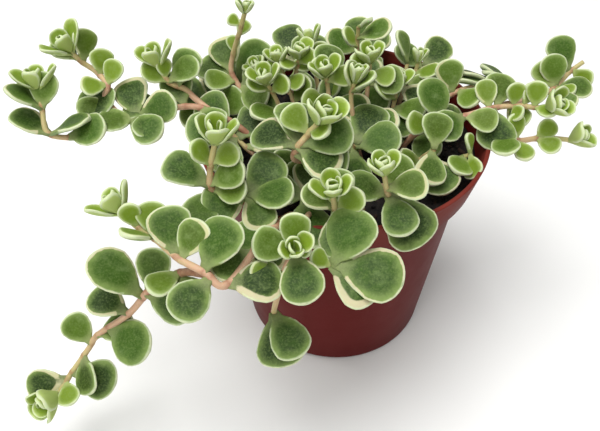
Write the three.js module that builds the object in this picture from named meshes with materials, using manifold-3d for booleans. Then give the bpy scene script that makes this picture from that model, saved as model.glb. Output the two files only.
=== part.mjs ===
// Potted sedum: a round nursery pot, its soil, and the rooted shoots that grow out of it.
// Millimetres, +Z up. The origin is the middle of the pot's flat underside; the front is -Y.

import * as THREE from "three";
import { mergeVertices } from "three/addons/utils/BufferGeometryUtils.js";
import Module from "manifold-3d";

const wasm = await Module();
wasm.setup();
const { Manifold, Mesh: SolidMesh } = wasm;

// ---- Driving dimensions -------------------------------------------------------------------

const POT_HEIGHT = 88.5;
const RIM_RADIUS = 49.5;
const BASE_RADIUS = 34.4;
const COLLAR_HEIGHT = 13;
const COLLAR_FLARE = 3.1; // how much wider the collar is at the rim than at its lower edge
const COLLAR_STEP = 3.6; // how far the collar stands out from the body below it
const WALL = 1.5;
const FLOOR = 2;
const FOOT_ROUND = 2.5;
const FOOT_CUT = 0.3; // the share of the foot's rounding at which its middle corner lies
const DRAIN_HOLES = 6;
const DRAIN_RADIUS = 3.2;
const DRAIN_CIRCLE = 22;
const SOIL_BELOW_RIM = 8;
const GAP = 0.3; // clearance between neighbouring pieces

const ROUND_SEGMENTS = 36;
const HOLE_SEGMENTS = 20;
const STEM_SIDES = 5;
const STEM_STEPS_PER_SPAN = 1;
const LEAF_EDGE_POINTS = 8;
const BUD_EDGE_POINTS = 6;

const LEAF_WIDTH = 0.82; // of its length
const LEAF_WIDEST = 14.5;
const WIDTH_SPREAD = 0.16; // from the narrowest leaf of a length to the broadest, as a share
const BUD_WIDTH = 0.7; // of its length
const SLIM_BUD_WIDTH = 0.5;
const LEAF_HALF_THICKNESS = 1.1;
const BUD_HALF_THICKNESS = 0.7;
const THICKEST_PLACE = 0.55; // along a leaf
const NECK_PLACE = 0.08; // along a leaf: where its narrow foot ends
const NECK_WIDTH = 0.2; // of the greatest width
const NECK_END = 0.3; // along a leaf: where the blade is wider than its foot
const SHOULDER = 0.62; // the smaller, the quicker the blade widens
const ROUNDNESS = 2.6; // the larger, the blunter the blade's end
const FULL_WIDTH = 0.63; // what the blade's curve comes to at its widest
const GROWN_LENGTH = 15; // a leaf on a stem is grown at this length
const YOUTH_SPAN = 9; // and young by this much less
const YOUNGEST = 0.7; // the most that a stem's leaf may count as young
const OPEN_PAIRS = 2; // pairs of leaves that stand open round a rosette's heart
const HEART_HEIGHT = 0.6; // of the rosette's outer leaves
const HEART_WIDTH = 0.24; // likewise
const OUTER_LENGTH = 1.1; // of a rosette's outermost leaves, as a share of its leaf length
const INNER_SHORTENING = 0.6; // from the outermost leaves to the heart
const LENGTH_SPREAD = 0.16; // from the shortest leaf of a pair to the longest
const HEART_RISE = 1.5; // how far up the rosette's axis the innermost leaves start
const ROSETTE_SINK = 1; // how far below the stem's end the outermost ones start
const LEAF_ROOT = 0.3; // how far a leaf runs on past the middle of its stem
const FINEST_DETAIL = 0.08; // smaller steps in a shoot are smoothed away
const TOUCHING = 0.004; // corners no further apart than this touch
const HAIR = 0.02; // how far touching corners are drawn back from each other

// Angles in degrees: how far leaves rise from lying square to the light, and how a rosette opens.
const LEAF_LIFT = 6;
const YOUNG_LIFT = 30; // the further rise of the youngest
const LIFT_SPREAD = 34; // from the flattest leaf to the steepest
const SWAY_SPREAD = 44; // from one side to the other, about the leaf's own midrib
const TIP_OPENING = 44; // of a rosette's outermost leaves
const SLIM_OPENING = 28; // of a slim rosette's
const TIP_CLOSING = 34; // how much steeper the innermost leaves are
const TIP_UNEVENNESS = 24;

// The light that the leaves turn to leans towards the front by this angle.
const LIGHT_LEAN = THREE.MathUtils.degToRad(28);

// The routes below were laid out on a pot of this size, and follow a pot of another size.
const LAID_OUT_RIM_RADIUS = 49.5;
const LAID_OUT_POT_HEIGHT = 88.5;

// ---- Values that follow from them ----------------------------------------------------------

const COLLAR_BOTTOM = POT_HEIGHT - COLLAR_HEIGHT;
const COLLAR_RADIUS = RIM_RADIUS - COLLAR_FLARE;
const BODY_TOP_RADIUS = COLLAR_RADIUS - COLLAR_STEP;
const SOIL_TOP = POT_HEIGHT - SOIL_BELOW_RIM;
const SPREAD = RIM_RADIUS / LAID_OUT_RIM_RADIUS;
const RISE = POT_HEIGHT / LAID_OUT_POT_HEIGHT;
const LIGHT = new THREE.Vector3(0, -Math.sin(LIGHT_LEAN), Math.cos(LIGHT_LEAN));
const UPWARD = new THREE.Vector3(0, -0.25, 1).normalize(); // the way that rosettes turn
const ACROSS = new THREE.Vector3(1, 0, 0);
const AWAY = new THREE.Vector3(0, Math.cos(LIGHT_LEAN), Math.sin(LIGHT_LEAN));

// ---- The plant ------------------------------------------------------------------------------
// A shoot is one rooted piece. Each of its branches has
//   route:  points that the stem passes through
//   leaves: [place on the route, heading, length, twist], where the place counts route points,
//           the heading is in degrees round the light (0 to the right, 90 away from the front)
//           and the twist turns the blade about its own midrib
//   tip:    [leaf length, turn, pairs of leaves] of the rosette at the end, where there is one
//   slim:   the rosette is still closed and narrow

const SHOOTS = [
  {
    name: "shoot_front_left",
    stem: 1.2,
    branches: [
      {
        route: [
          [-16, -33, 76.5], [-19, -41, 86.5], [-26, -56, 93.5], [-36, -71, 91.5], [-42, -69, 94.5],
          [-49, -64, 94.5], [-56, -58, 96.5], [-61, -55, 98.5], [-65, -52, 100.5],
        ],
        leaves: [
          [3, 5, 15], [3.7, 230, 14], [4, 60, 16], [4.9, 60, 12], [5.1, 100, 14],
          [6, 95, 10], [6, 187, 10, 55], [6.8, 120, 8],
          [1.6, 210, 15], [1.6, 255, 14], [2.3, 210, 13],
        ],
        tip: [9, 30, 4],
      },
      {
        route: [
          [-41, -69, 93.5], [-48, -62, 86.5], [-54, -59, 80.5], [-61, -57, 72.5], [-69, -56, 60.5],
          [-81, -55, 48.5], [-85, -56, 42.5], [-91, -60, 35.5], [-96, -65, 30.5],
        ],
        leaves: [
          [1.3, 215, 11], [1.5, -60, 14], [3, 78, 13], [3.1, -22, 16], [3.3, 140, 20],
          [4, 152, 14], [4.6, -32, 17], [5, 14, 13], [5.6, 130, 12], [6.3, -78, 13, 40],
          [7, -15, 15], [7.3, 190, 14], [7.4, -70, 9],
        ],
        tip: [11, 20, 4],
      },
    ],
  },
  {
    name: "shoot_left",
    stem: 1.1,
    branches: [
      {
        route: [
          [-24, -8, 76.5], [-29, -6, 86.5], [-40, -2, 94.5], [-51, 1, 96.5], [-64, -2, 95.5], [-74, -4, 94.5],
          [-83, -7, 93.5], [-89, -9, 92.5], [-95, -10, 95.5], [-96, -6, 101.5], [-97, -2, 106.5],
        ],
        leaves: [
          [2.6, -60, 13], [3.1, 110, 13], [3.6, 235, 13], [3.6, 165, 14], [4.3, 105, 14],
          [4.4, 195, 12], [4.6, -35, 14], [6, 85, 12], [6, 80, 17], [7, 5, 14],
          [7.8, 22, 14, -45], [7.8, 150, 14, 35], [9, 153, 13, 55], [9, 80, 12], [9.2, 118, 12],
          [4.3, 15, 14],
        ],
        tip: [9, 0, 4],
      },
      {
        route: [
          [-72, -3, 94.5], [-78, 3, 98.5], [-77, 5, 102.5], [-81, 10, 104.5], [-85, 11, 107.5], [-88, 11, 111.5],
        ],
        leaves: [[2, 60, 9], [2.7, 80, 9, 30], [2, 200, 9], [4, 85, 11, 55], [4.3, 150, 10]],
        tip: [10, 45, 3],
      },
      {
        route: [[-41, -3, 94.5], [-49, 4, 97.5], [-52, 5, 100.5], [-57, 5, 103.5], [-60, 7, 108.5]],
        leaves: [[2.5, 60, 13], [3, 155, 10], [3, 28, 12], [3.2, 100, 7]],
        tip: [9, 0, 3],
      },
    ],
  },
  {
    name: "shoot_left_rim",
    stem: 1.1,
    branches: [
      {
        route: [
          [-28, -22, 76.5], [-32, -29, 86.5], [-38, -39, 94.5], [-41, -42, 99.5], [-41, -41, 104.5],
          [-40, -40, 109.5], [-39, -39, 113.5],
        ],
        leaves: [
          [3.2, 150, 15], [3.3, 15, 12], [2.8, -10, 11], [2.4, 235, 13], [4.4, 135, 9],
          [4.6, 20, 9],
        ],
        tip: [10, 0, 3],
      },
    ],
  },
  {
    name: "shoot_left_inner",
    stem: 1,
    branches: [
      {
        route: [[-19, -19, 76.5], [-23, -28, 86.5], [-31, -41, 95.5]],
        leaves: [[2, 50, 15], [2, -5, 14], [2, -65, 13], [2, 205, 14], [1, 20, 12]],
      },
    ],
  },
  {
    name: "shoot_back_left",
    stem: 1,
    branches: [
      {
        route: [
          [-26, 4, 76.5], [-29, 7, 86.5], [-33, 10, 94.5], [-37, 14, 100.5], [-36, 15, 107.5],
          [-33, 11, 118.5], [-31, 8, 126.5],
        ],
        leaves: [
          [2.2, 45, 15], [2.6, 190, 11], [2.8, 155, 13], [3, 105, 13], [2.3, -40, 12],
          [4, 90, 6], [4.7, 60, 6], [5.2, 150, 5],
        ],
        tip: [6, 0, 3],
        slim: true,
      },
    ],
  },
  {
    name: "shoot_front",
    stem: 1,
    branches: [
      {
        route: [[-9, -29, 76.5], [-12, -39, 86.5], [-16, -53, 93.5], [-18, -62, 94.5], [-18, -65, 97.5]],
        leaves: [[3.3, 85, 11], [3.3, -78, 15], [3, 170, 12], [3.1, -5, 6]],
        tip: [7, 20, 3],
      },
      {
        route: [[-16, -55, 93.5], [-21, -66, 89.5], [-23, -68, 81.5], [-24, -66, 72.5], [-23, -64, 66.5]],
        leaves: [[3, -62, 15], [3, -82, 16], [1, -170, 10]],
      },
    ],
  },
  {
    name: "shoot_front_right",
    stem: 1,
    branches: [
      {
        route: [[4, -29, 76.5], [3, -39, 86.5], [-1, -53, 92.5], [-5, -60, 92.5], [-8, -64, 89.5]],
        leaves: [[4, 58, 18], [4, -42, 15], [3.8, -20, 20], [4, 150, 7]],
      },
    ],
  },
  {
    name: "shoot_rim_right",
    stem: 1,
    branches: [
      {
        route: [[11, -19, 76.5], [11, -29, 86.5], [10, -41, 94.5], [9, -43, 98.5], [8, -42, 103.5]],
        leaves: [[2, -72, 14], [2, -56, 18], [3, 2, 12], [2, 165, 13], [1.5, 60, 12]],
        tip: [8, 30, 4],
      },
    ],
  },
  {
    name: "shoot_front_middle",
    stem: 1,
    branches: [
      {
        route: [[-2, -27, 76.5], [-3, -37, 86.5], [-6, -49, 96.5], [-7, -50, 103.5]],
        leaves: [[2, 275, 15], [1.8, 85, 12], [2.1, 20, 10], [1.6, 150, 12]],
        tip: [8, 0, 4],
      },
    ],
  },
  {
    name: "shoot_cream",
    stem: 1,
    branches: [
      {
        route: [[21, -12, 76.5], [24, -16, 85.5], [27, -20, 93.5]],
        leaves: [[1.9, -102, 13], [1.4, -68, 15], [2, 80, 12], [1, 200, 11]],
      },
    ],
  },
  {
    name: "shoot_centre",
    stem: 1.2,
    branches: [
      {
        route: [
          [-8, -11, 76.5], [-12, -19, 88.5], [-17, -30, 99.5], [-16, -32, 105.5], [-13, -31, 109.5], [-10, -31, 113.5],
        ],
        leaves: [
          [3, 90, 16], [3, -35, 14], [2.6, -18, 16], [3.2, 12, 16], [3, 150, 15], [4, 130, 10],
          [4.2, -30, 8], [1, 190, 13], [1.2, 20, 13],
        ],
        tip: [10, 20, 4],
      },
    ],
  },
  {
    name: "shoot_back_middle",
    stem: 0.9,
    branches: [
      {
        route: [[-16, -1, 76.5], [-18, 0, 86.5], [-22, 2, 97.5], [-25, 2, 104.5]],
        leaves: [[1.4, 250, 12], [1.6, 200, 12], [2.5, 165, 9], [2.5, 10, 8]],
        tip: [8, 0, 3],
      },
    ],
  },
  {
    name: "shoot_back_row",
    stem: 0.9,
    branches: [
      {
        route: [[-13, 8, 76.5], [-16, 12, 88.5], [-21, 18, 101.5]],
        leaves: [[1.7, 130, 8], [1.6, -30, 8], [1, 60, 11]],
        tip: [7, 0, 3],
      },
      {
        route: [[-17, 14, 91.5], [-15, 17, 98.5], [-14, 18, 103.5]],
        leaves: [[1.5, 20, 8], [1.5, 200, 7]],
        tip: [7, 40, 3],
      },
      {
        route: [[-17, 14, 91.5], [-24, 17, 95.5], [-28, 17, 99.5]],
        leaves: [[1.5, 60, 8], [1.5, 200, 7]],
        tip: [6, 20, 3],
      },
    ],
  },
  {
    name: "shoot_bright",
    stem: 0.9,
    branches: [
      {
        route: [[-4, -5, 76.5], [-4, -1, 88.5], [-5, 4, 100.5], [-6, 4, 105.5]],
        leaves: [[1.6, -20, 14], [2.3, 85, 13], [2.3, 125, 9], [2.4, 10, 9], [1.5, 170, 10]],
        tip: [8, 20, 3],
      },
    ],
  },
  {
    name: "shoot_slim",
    stem: 0.9,
    branches: [
      {
        route: [[-4, 13, 76.5], [-7, 18, 89.5], [-10, 24, 103.5]],
        leaves: [[1.6, 60, 9], [1.6, 200, 8], [1.1, -20, 10]],
        tip: [8, 0, 3],
        slim: true,
      },
    ],
  },
  {
    name: "shoot_narrow",
    stem: 0.9,
    branches: [
      {
        route: [[7, -13, 76.5], [4, -8, 88.5], [2, -3, 101.5], [3, -3, 107.5]],
        leaves: [
          [1.3, -22, 15], [1.3, -5, 18], [2.3, 100, 10, 50], [2.3, 15, 10, -45], [2.6, 55, 8, -40],
          [1.1, 160, 12],
        ],
        tip: [8, 0, 3],
        slim: true,
      },
    ],
  },
  {
    name: "shoot_pale",
    stem: 0.9,
    branches: [
      {
        route: [[8, -1, 76.5], [8, 4, 90.5], [9, 9, 102.5], [9, 10, 106.5]],
        leaves: [[1.7, 0, 12], [2, 150, 9], [2, -20, 9]],
        tip: [8, 30, 3],
      },
    ],
  },
  {
    name: "shoot_pale_low",
    stem: 0.9,
    branches: [
      {
        route: [[16, 1, 76.5], [17, 4, 87.5], [19, 9, 97.5]],
        leaves: [[1.6, 90, 12], [1.6, 160, 10], [1.1, -100, 13], [1.3, -20, 12]],
        tip: [7, 10, 3],
      },
    ],
  },
  {
    name: "shoot_back_rim",
    stem: 0.9,
    branches: [
      {
        route: [[6, 19, 76.5], [7, 25, 88.5], [7, 30, 99.5], [7, 30, 107.5]],
        leaves: [[2.4, 3, 13], [3, 5, 6, -60], [2, 150, 9], [1.5, -30, 10]],
      },
    ],
  },
  {
    name: "shoot_back_right",
    stem: 0.9,
    branches: [
      {
        route: [[19, 11, 76.5], [22, 16, 87.5], [24, 22, 97.5]],
        leaves: [[2, 105, 12, 50], [1.5, -20, 11], [1.4, 200, 11]],
      },
      {
        route: [[22, 17, 89.5], [27, 22, 93.5], [28, 23, 97.5]],
        leaves: [[1, -20, 10]],
        tip: [6, 0, 3],
        slim: true,
      },
    ],
  },
  {
    name: "shoot_right",
    stem: 1.1,
    branches: [
      {
        route: [
          [18, -6, 76.5], [22, -6, 86.5], [30, -7, 93.5], [39, -6, 95.5], [49, -2, 95.5], [57, -1, 95.5],
          [63, -2, 95.5], [67, -4, 96.5],
        ],
        leaves: [
          [2.2, 110, 15], [1.8, 183, 14], [3, 215, 14], [3, -20, 11], [4, -88, 15],
          [3.9, 97, 10], [4.2, 80, 12], [4.9, 88, 8], [4.9, -80, 7, 50], [5.4, 70, 8, 45],
          [6, 85, 9], [6, -40, 8],
        ],
        tip: [9, 0, 4],
      },
      {
        route: [[44, -4, 95.5], [56, 4, 92.5], [67, 10, 90.5], [77, 18, 88.5], [84, 25, 90.5], [89, 27, 93.5]],
        leaves: [
          [1, -60, 10], [3, 120, 11], [3.1, 103, 12], [3, -8, 13], [3, -35, 8], [2.8, -75, 13],
          [4, 112, 14], [4.2, -50, 9, 50],
        ],
      },
      {
        route: [[42, -5, 95.5], [49, -8, 92.5], [57, -9, 87.5], [65, -6, 85.5], [72, -5, 84.5], [77, -6, 84.5]],
        leaves: [[1.5, -105, 12], [2, -75, 9], [3, -45, 9], [3, 40, 8], [2, 100, 9]],
        tip: [9, 0, 3],
      },
    ],
  },
  {
    name: "shoot_right_back",
    stem: 1,
    branches: [
      {
        route: [[26, 3, 76.5], [30, 6, 86.5], [38, 9, 93.5], [50, 13, 94.5], [60, 14, 93.5]],
        leaves: [
          [2, 100, 12], [2.2, -60, 11], [3.4, 155, 14, 55], [3.2, 175, 13, 50], [4, 150, 13, 50],
          [4, 165, 12, 60],
        ],
      },
    ],
  },
  {
    name: "shoot_right_rim",
    stem: 0.9,
    branches: [
      {
        route: [[33, -12, 76.5], [36, -14, 83.5], [40, -17, 88.5]],
        leaves: [[2, -85, 9, 50], [2, 100, 7, 50], [1.6, -120, 11]],
      },
    ],
  },
  {
    name: "shoot_low_left",
    stem: 1,
    branches: [
      {
        route: [[-23, -9, 76.5], [-31, -9, 85], [-38, -5, 90.5]],
        leaves: [[2, 125, 15], [1.9, 178, 15], [1.6, 50, 15], [1.7, 250, 14], [1.2, 5, 13]],
      },
    ],
  },
  {
    name: "shoot_low_back_left",
    stem: 1,
    branches: [
      {
        route: [[-25, 15, 76.5], [-31, 18, 85], [-36, 20, 91.5]],
        leaves: [[2, 48, 18], [1.9, 165, 15], [1.5, 105, 14], [1.5, -40, 14], [1.2, 230, 13]],
      },
    ],
  },
  {
    name: "shoot_low_middle",
    stem: 1,
    branches: [
      {
        route: [[0, -13, 76.5], [2, -14, 85], [3, -15, 92]],
        leaves: [[2, 62, 16], [1.9, 5, 15], [1.7, -92, 15], [1.6, 175, 14], [1.2, 120, 13]],
      },
    ],
  },
  {
    name: "shoot_low_front",
    stem: 1,
    branches: [
      {
        route: [[-12, -24, 76.5], [-13, -32, 85], [-14, -37, 90]],
        leaves: [[2, -82, 17], [1.7, 5, 14], [1.6, 165, 14], [1.3, 85, 13]],
      },
    ],
  },
  {
    name: "shoot_low_right",
    stem: 1,
    branches: [
      {
        route: [[26, -4, 76.5], [27, -2, 84], [27, 1, 89]],
        leaves: [[2, 95, 14], [1.8, 5, 14], [1.7, 185, 14], [1.4, -85, 13]],
      },
    ],
  },
  {
    name: "shoot_low_back",
    stem: 1,
    branches: [
      {
        route: [[3, 7, 76.5], [5, 10, 85], [6, 14, 91]],
        leaves: [[1.8, -58, 15], [1.9, 175, 14], [2, 65, 14], [1.5, 0, 13], [1.3, 120, 13]],
      },
    ],
  },
  {
    name: "shoot_low_back_rim",
    stem: 1,
    branches: [
      {
        route: [[-12, 26, 76.5], [-14, 31, 86], [-15, 36, 92]],
        leaves: [[2, 105, 14], [1.9, 20, 14], [1.9, 190, 14], [1.5, -80, 13], [1.5, 60, 12]],
      },
    ],
  },
  {
    name: "shoot_low_back_right",
    stem: 1,
    branches: [
      {
        route: [[27, 23, 76.5], [30, 27, 85], [32, 31, 90]],
        leaves: [[2, 48, 14], [1.9, 140, 13], [1.8, -42, 13], [1.5, 230, 13]],
      },
    ],
  },
  {
    name: "shoot_low_back_edge",
    stem: 1,
    branches: [
      {
        route: [[7, 33, 76.5], [8, 38, 86], [9, 42, 90.5]],
        leaves: [[2, 90, 13], [2, 20, 13], [1.9, 165, 14], [1.5, -50, 12]],
      },
    ],
  },
  {
    name: "shoot_low_left_edge",
    stem: 1,
    branches: [
      {
        route: [[-36, 4, 76.5], [-41, 7, 86], [-45, 9, 91]],
        leaves: [[2, 150, 14], [1.9, 80, 14], [1.8, 215, 12], [1.5, 20, 12]],
      },
    ],
  },
];

// ---- Solids ---------------------------------------------------------------------------------

function toSolid(geometry) {
  const bare = geometry.index ? geometry.clone() : geometry;
  bare.deleteAttribute("normal");
  bare.deleteAttribute("uv");
  const joined = mergeVertices(bare, 1e-4);
  return new Manifold(new SolidMesh({
    numProp: 3,
    vertProperties: new Float32Array(joined.attributes.position.array),
    triVerts: new Uint32Array(joined.index.array),
  }));
}

// Corners that only touch would be taken for one and the same, so each is drawn back by a hair,
// towards the corners it is joined to.
function partTouchingCorners(spots, triangles) {
  const placeOf = (i) => new THREE.Vector3().fromArray(spots, 3 * i);
  const sharing = new Map();
  for (let i = 0; i < spots.length / 3; i += 1) {
    const key = placeOf(i).multiplyScalar(1 / TOUCHING).round().toArray().join();
    sharing.set(key, [...(sharing.get(key) ?? []), i]);
  }
  const touching = [...sharing.values()].filter((corners) => corners.length > 1).flat();
  const drawnBack = new Map(touching.map((i) => [i, new THREE.Vector3()]));
  for (let t = 0; t < triangles.length; t += 3) {
    const corners = [...triangles.slice(t, t + 3)];
    corners.filter((i) => drawnBack.has(i)).forEach((i) => {
      corners.forEach((j) => drawnBack.get(i).add(placeOf(j).sub(placeOf(i))));
    });
  }
  drawnBack.forEach((way, i) => placeOf(i).addScaledVector(way.normalize(), HAIR).toArray(spots, 3 * i));
}

function toGeometry(solid) {
  const mesh = solid.getMesh();
  const spots = mesh.vertProperties.slice();
  partTouchingCorners(spots, mesh.triVerts);
  const geometry = new THREE.BufferGeometry();
  geometry.setAttribute("position", new THREE.BufferAttribute(spots, 3));
  geometry.setIndex(new THREE.BufferAttribute(mesh.triVerts, 1));
  geometry.computeVertexNormals();
  return geometry;
}

function largestPiece(solid) {
  return solid.decompose().reduce((best, piece) => (piece.volume() > best.volume() ? piece : best));
}

function boxesMeet(one, other) {
  const a = one.boundingBox();
  const b = other.boundingBox();
  return [0, 1, 2].every((axis) => a.min[axis] < b.max[axis] && b.min[axis] < a.max[axis]);
}

function cutClear(solid, obstacles) {
  const near = obstacles.filter((obstacle) => boxesMeet(solid, obstacle));
  return near.length === 0 ? solid : solid.subtract(Manifold.union(near));
}

// A solid turned about the Z axis from a profile of [radius, height] points.
function turned(profile) {
  const outline = profile.map(([radius, height]) => new THREE.Vector2(radius, height));
  return toSolid(new THREE.LatheGeometry(outline, ROUND_SEGMENTS).rotateX(Math.PI / 2));
}

// ---- Pot and soil ---------------------------------------------------------------------------

// The pot's section, grown on every side by `extra`.
function potSolid(extra) {
  const wall = WALL + extra;
  const corner = FOOT_ROUND * FOOT_CUT - extra * (1 - FOOT_CUT);
  return turned([
    [0, -extra],
    [BASE_RADIUS - FOOT_ROUND, -extra],
    [BASE_RADIUS - corner, corner],
    [BASE_RADIUS + extra, FOOT_ROUND],
    [BODY_TOP_RADIUS + extra, COLLAR_BOTTOM - extra],
    [COLLAR_RADIUS + extra, COLLAR_BOTTOM - extra],
    [RIM_RADIUS + extra, POT_HEIGHT - WALL / 2],
    [RIM_RADIUS - WALL / 3, POT_HEIGHT + extra],
    [RIM_RADIUS - wall, POT_HEIGHT + extra],
    [COLLAR_RADIUS - wall, COLLAR_BOTTOM + WALL],
    [BODY_TOP_RADIUS - wall, COLLAR_BOTTOM - WALL],
    [BASE_RADIUS - wall, FLOOR + extra],
    [0, FLOOR + extra],
  ]);
}

function drainHoles() {
  const holes = [];
  for (let i = 0; i < DRAIN_HOLES; i += 1) {
    const angle = (2 * Math.PI * i) / DRAIN_HOLES;
    holes.push(
      Manifold.cylinder(3 * FLOOR, DRAIN_RADIUS, DRAIN_RADIUS, HOLE_SEGMENTS, true)
        .translate(DRAIN_CIRCLE * Math.cos(angle), DRAIN_CIRCLE * Math.sin(angle), FLOOR / 2),
    );
  }
  return Manifold.union(holes);
}

// The root ball, from the pot's floor up to `top`, grown on every side by `extra`.
function soilSolid(extra) {
  const inset = WALL + GAP - extra;
  const flare = (COLLAR_FLARE * (SOIL_TOP - COLLAR_BOTTOM - WALL)) / (COLLAR_HEIGHT - WALL);
  return turned([
    [0, FLOOR + GAP - extra],
    [BASE_RADIUS - inset, FLOOR + GAP - extra],
    [BODY_TOP_RADIUS - inset, COLLAR_BOTTOM - WALL],
    [COLLAR_RADIUS - inset, COLLAR_BOTTOM + WALL],
    [COLLAR_RADIUS - inset + flare, SOIL_TOP + extra],
    [0, SOIL_TOP + extra],
  ]);
}

// ---- Stems and leaves -----------------------------------------------------------------------

function placed([x, y, z]) {
  return new THREE.Vector3(x * SPREAD, y * SPREAD, z * RISE);
}

function routeCurve(route) {
  return new THREE.CatmullRomCurve3(route.map(placed), false, "catmullrom", 0.5);
}

// A stem along its route, grown by `extra` at its side and its foot.
function stemSolid(route, stemRadius, extra) {
  const radius = stemRadius + extra;
  const curve = routeCurve(route);
  curve.points[0].z -= extra;
  const section = new THREE.Shape();
  for (let i = 0; i < STEM_SIDES; i += 1) {
    const angle = (2 * Math.PI * i) / STEM_SIDES;
    const corner = [radius * Math.cos(angle), radius * Math.sin(angle)];
    if (i === 0) section.moveTo(...corner);
    else section.lineTo(...corner);
  }
  section.closePath();
  return toSolid(new THREE.ExtrudeGeometry(section, {
    extrudePath: curve,
    steps: STEM_STEPS_PER_SPAN * (route.length - 1),
    bevelEnabled: false,
  }));
}

// A repeatable value from 0 to 1 for each set of keys, so that no two leaves are quite alike.
function scatter(...keys) {
  const sum = keys.reduce((total, key, i) => total + (i + 1) * 12.9898 * key, 78.233);
  const wild = Math.sin(sum) * 43758.5453;
  return wild - Math.floor(wild);
}

// Half the blade's width at a place along it, from 0 at the foot to 1 at the end, as a share
// of its greatest half width: a narrow foot, then a round blade.
function bladeShare(place) {
  const along = Math.max(0, (place - NECK_PLACE) / (1 - NECK_PLACE));
  const round = (along ** SHOULDER * Math.sqrt(Math.max(0, 1 - along ** ROUNDNESS))) / FULL_WIDTH;
  return Math.max(Math.min(round, 1), place < NECK_END ? NECK_WIDTH : 0);
}

// A leaf: a low sphere whose equator becomes the blade's outline and whose poles are its faces.
function leafSolid({ foot, along, face, length, width, halfThickness, edgePoints }) {
  const geometry = new THREE.SphereGeometry(1, edgePoints, 2);
  const position = geometry.attributes.position;
  for (let i = 0; i < position.count; i += 1) {
    const pole = position.getY(i);
    const turn = Math.atan2(position.getZ(i), position.getX(i));
    if (Math.abs(pole) > 0.5) {
      position.setXYZ(i, THICKEST_PLACE * length, 0, Math.sign(pole) * halfThickness);
    } else {
      const place = (1 + Math.cos(turn)) / 2;
      const edge = Math.abs(Math.sin(turn)) < 1e-6 ? 0 : Math.sign(Math.sin(turn));
      const half = (bladeShare(place) * width) / 2;
      position.setXYZ(i, place * (length + LEAF_ROOT) - LEAF_ROOT, -half * edge, 0);
    }
  }
  const side = new THREE.Vector3().crossVectors(face, along);
  geometry.applyMatrix4(new THREE.Matrix4().makeBasis(along, side, face).setPosition(foot));
  return toSolid(geometry);
}

// A leaf grown on every side by about `extra`: its widened blade swept from face to face.
function grownLeafSolid(leaf, extra) {
  if (extra === 0) return leafSolid(leaf);
  const wide = leafSolid({ ...leaf, length: leaf.length + extra, width: leaf.width + 2 * extra });
  const lift = leaf.face.clone().multiplyScalar(extra);
  return Manifold.hull([wide.translate(lift.toArray()), wide.translate(lift.negate().toArray())]);
}

// The leaves along a branch, each turned by hand to its heading with its face to the light.
function stemLeaves(branch, curve, keys) {
  const spans = branch.route.length - 1;
  return branch.leaves.map(([at, heading, length, twist], i) => {
    const chance = scatter(...keys, i);
    const youth = THREE.MathUtils.clamp((GROWN_LENGTH - length) / YOUTH_SPAN, 0, YOUNGEST);
    const tilt = LEAF_LIFT + YOUNG_LIFT * youth + LIFT_SPREAD * (chance - 0.5);
    const lift = THREE.MathUtils.degToRad(tilt);
    const turn = THREE.MathUtils.degToRad(heading);
    const out = ACROSS.clone().multiplyScalar(Math.cos(turn)).addScaledVector(AWAY, Math.sin(turn));
    const along = out.clone().multiplyScalar(Math.cos(lift)).addScaledVector(LIGHT, Math.sin(lift));
    const face = out.clone().multiplyScalar(-Math.sin(lift)).addScaledVector(LIGHT, Math.cos(lift));
    const sway = twist ?? SWAY_SPREAD * (scatter(...keys, i, 1) - 0.5);
    face.applyAxisAngle(along, THREE.MathUtils.degToRad(sway));
    const breadth = 1 + WIDTH_SPREAD * (scatter(...keys, i, 2) - 0.5);
    return {
      foot: curve.getPoint(at / spans),
      along,
      face,
      length,
      width: Math.min(LEAF_WIDTH * length, LEAF_WIDEST) * breadth,
      halfThickness: LEAF_HALF_THICKNESS,
      edgePoints: LEAF_EDGE_POINTS,
    };
  });
}

// The way a rosette faces: between its stem's own way and upward.
function tipAxis(branch, curve) {
  const axis = curve.getTangent(1).multiplyScalar(branch.slim ? 1 : 0.7);
  return axis.addScaledVector(UPWARD, branch.slim ? 0.3 : 0.6).normalize();
}

// The open leaves of the rosette at a branch's end: crossed pairs, steeper towards its heart.
function tipLeaves(branch, curve, keys) {
  if (!branch.tip) return [];
  const [outerLength, turn, pairs] = branch.tip;
  const end = curve.getPoint(1);
  const axis = tipAxis(branch, curve);
  const right = new THREE.Vector3().crossVectors(axis, new THREE.Vector3(0, 1, 0.3)).normalize();
  const up = new THREE.Vector3().crossVectors(axis, right);
  const leaves = [];
  for (let i = 0; i < 2 * OPEN_PAIRS; i += 1) {
    const pair = Math.floor(i / 2);
    const heart = pair / pairs;
    const chance = scatter(...keys, i, 5);
    const uneven = TIP_UNEVENNESS * (chance - 0.5);
    const round = THREE.MathUtils.degToRad(turn + 90 * pair + 180 * (i % 2) + uneven);
    const opening = (branch.slim ? SLIM_OPENING : TIP_OPENING) - TIP_CLOSING * heart;
    const open = THREE.MathUtils.degToRad(opening + uneven / 2);
    const out = right.clone().multiplyScalar(Math.cos(round)).addScaledVector(up, Math.sin(round));
    const size = (OUTER_LENGTH - INNER_SHORTENING * heart) * (1 + LENGTH_SPREAD * (chance - 0.5));
    const length = outerLength * size;
    leaves.push({
      foot: end.clone().addScaledVector(axis, HEART_RISE * heart - ROSETTE_SINK),
      along: axis.clone().multiplyScalar(Math.cos(open)).addScaledVector(out, Math.sin(open)),
      face: axis.clone().multiplyScalar(Math.sin(open)).addScaledVector(out, -Math.cos(open)),
      length,
      width: (branch.slim ? SLIM_BUD_WIDTH : BUD_WIDTH) * length,
      halfThickness: BUD_HALF_THICKNESS,
      edgePoints: BUD_EDGE_POINTS,
    });
  }
  return leaves;
}

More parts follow.
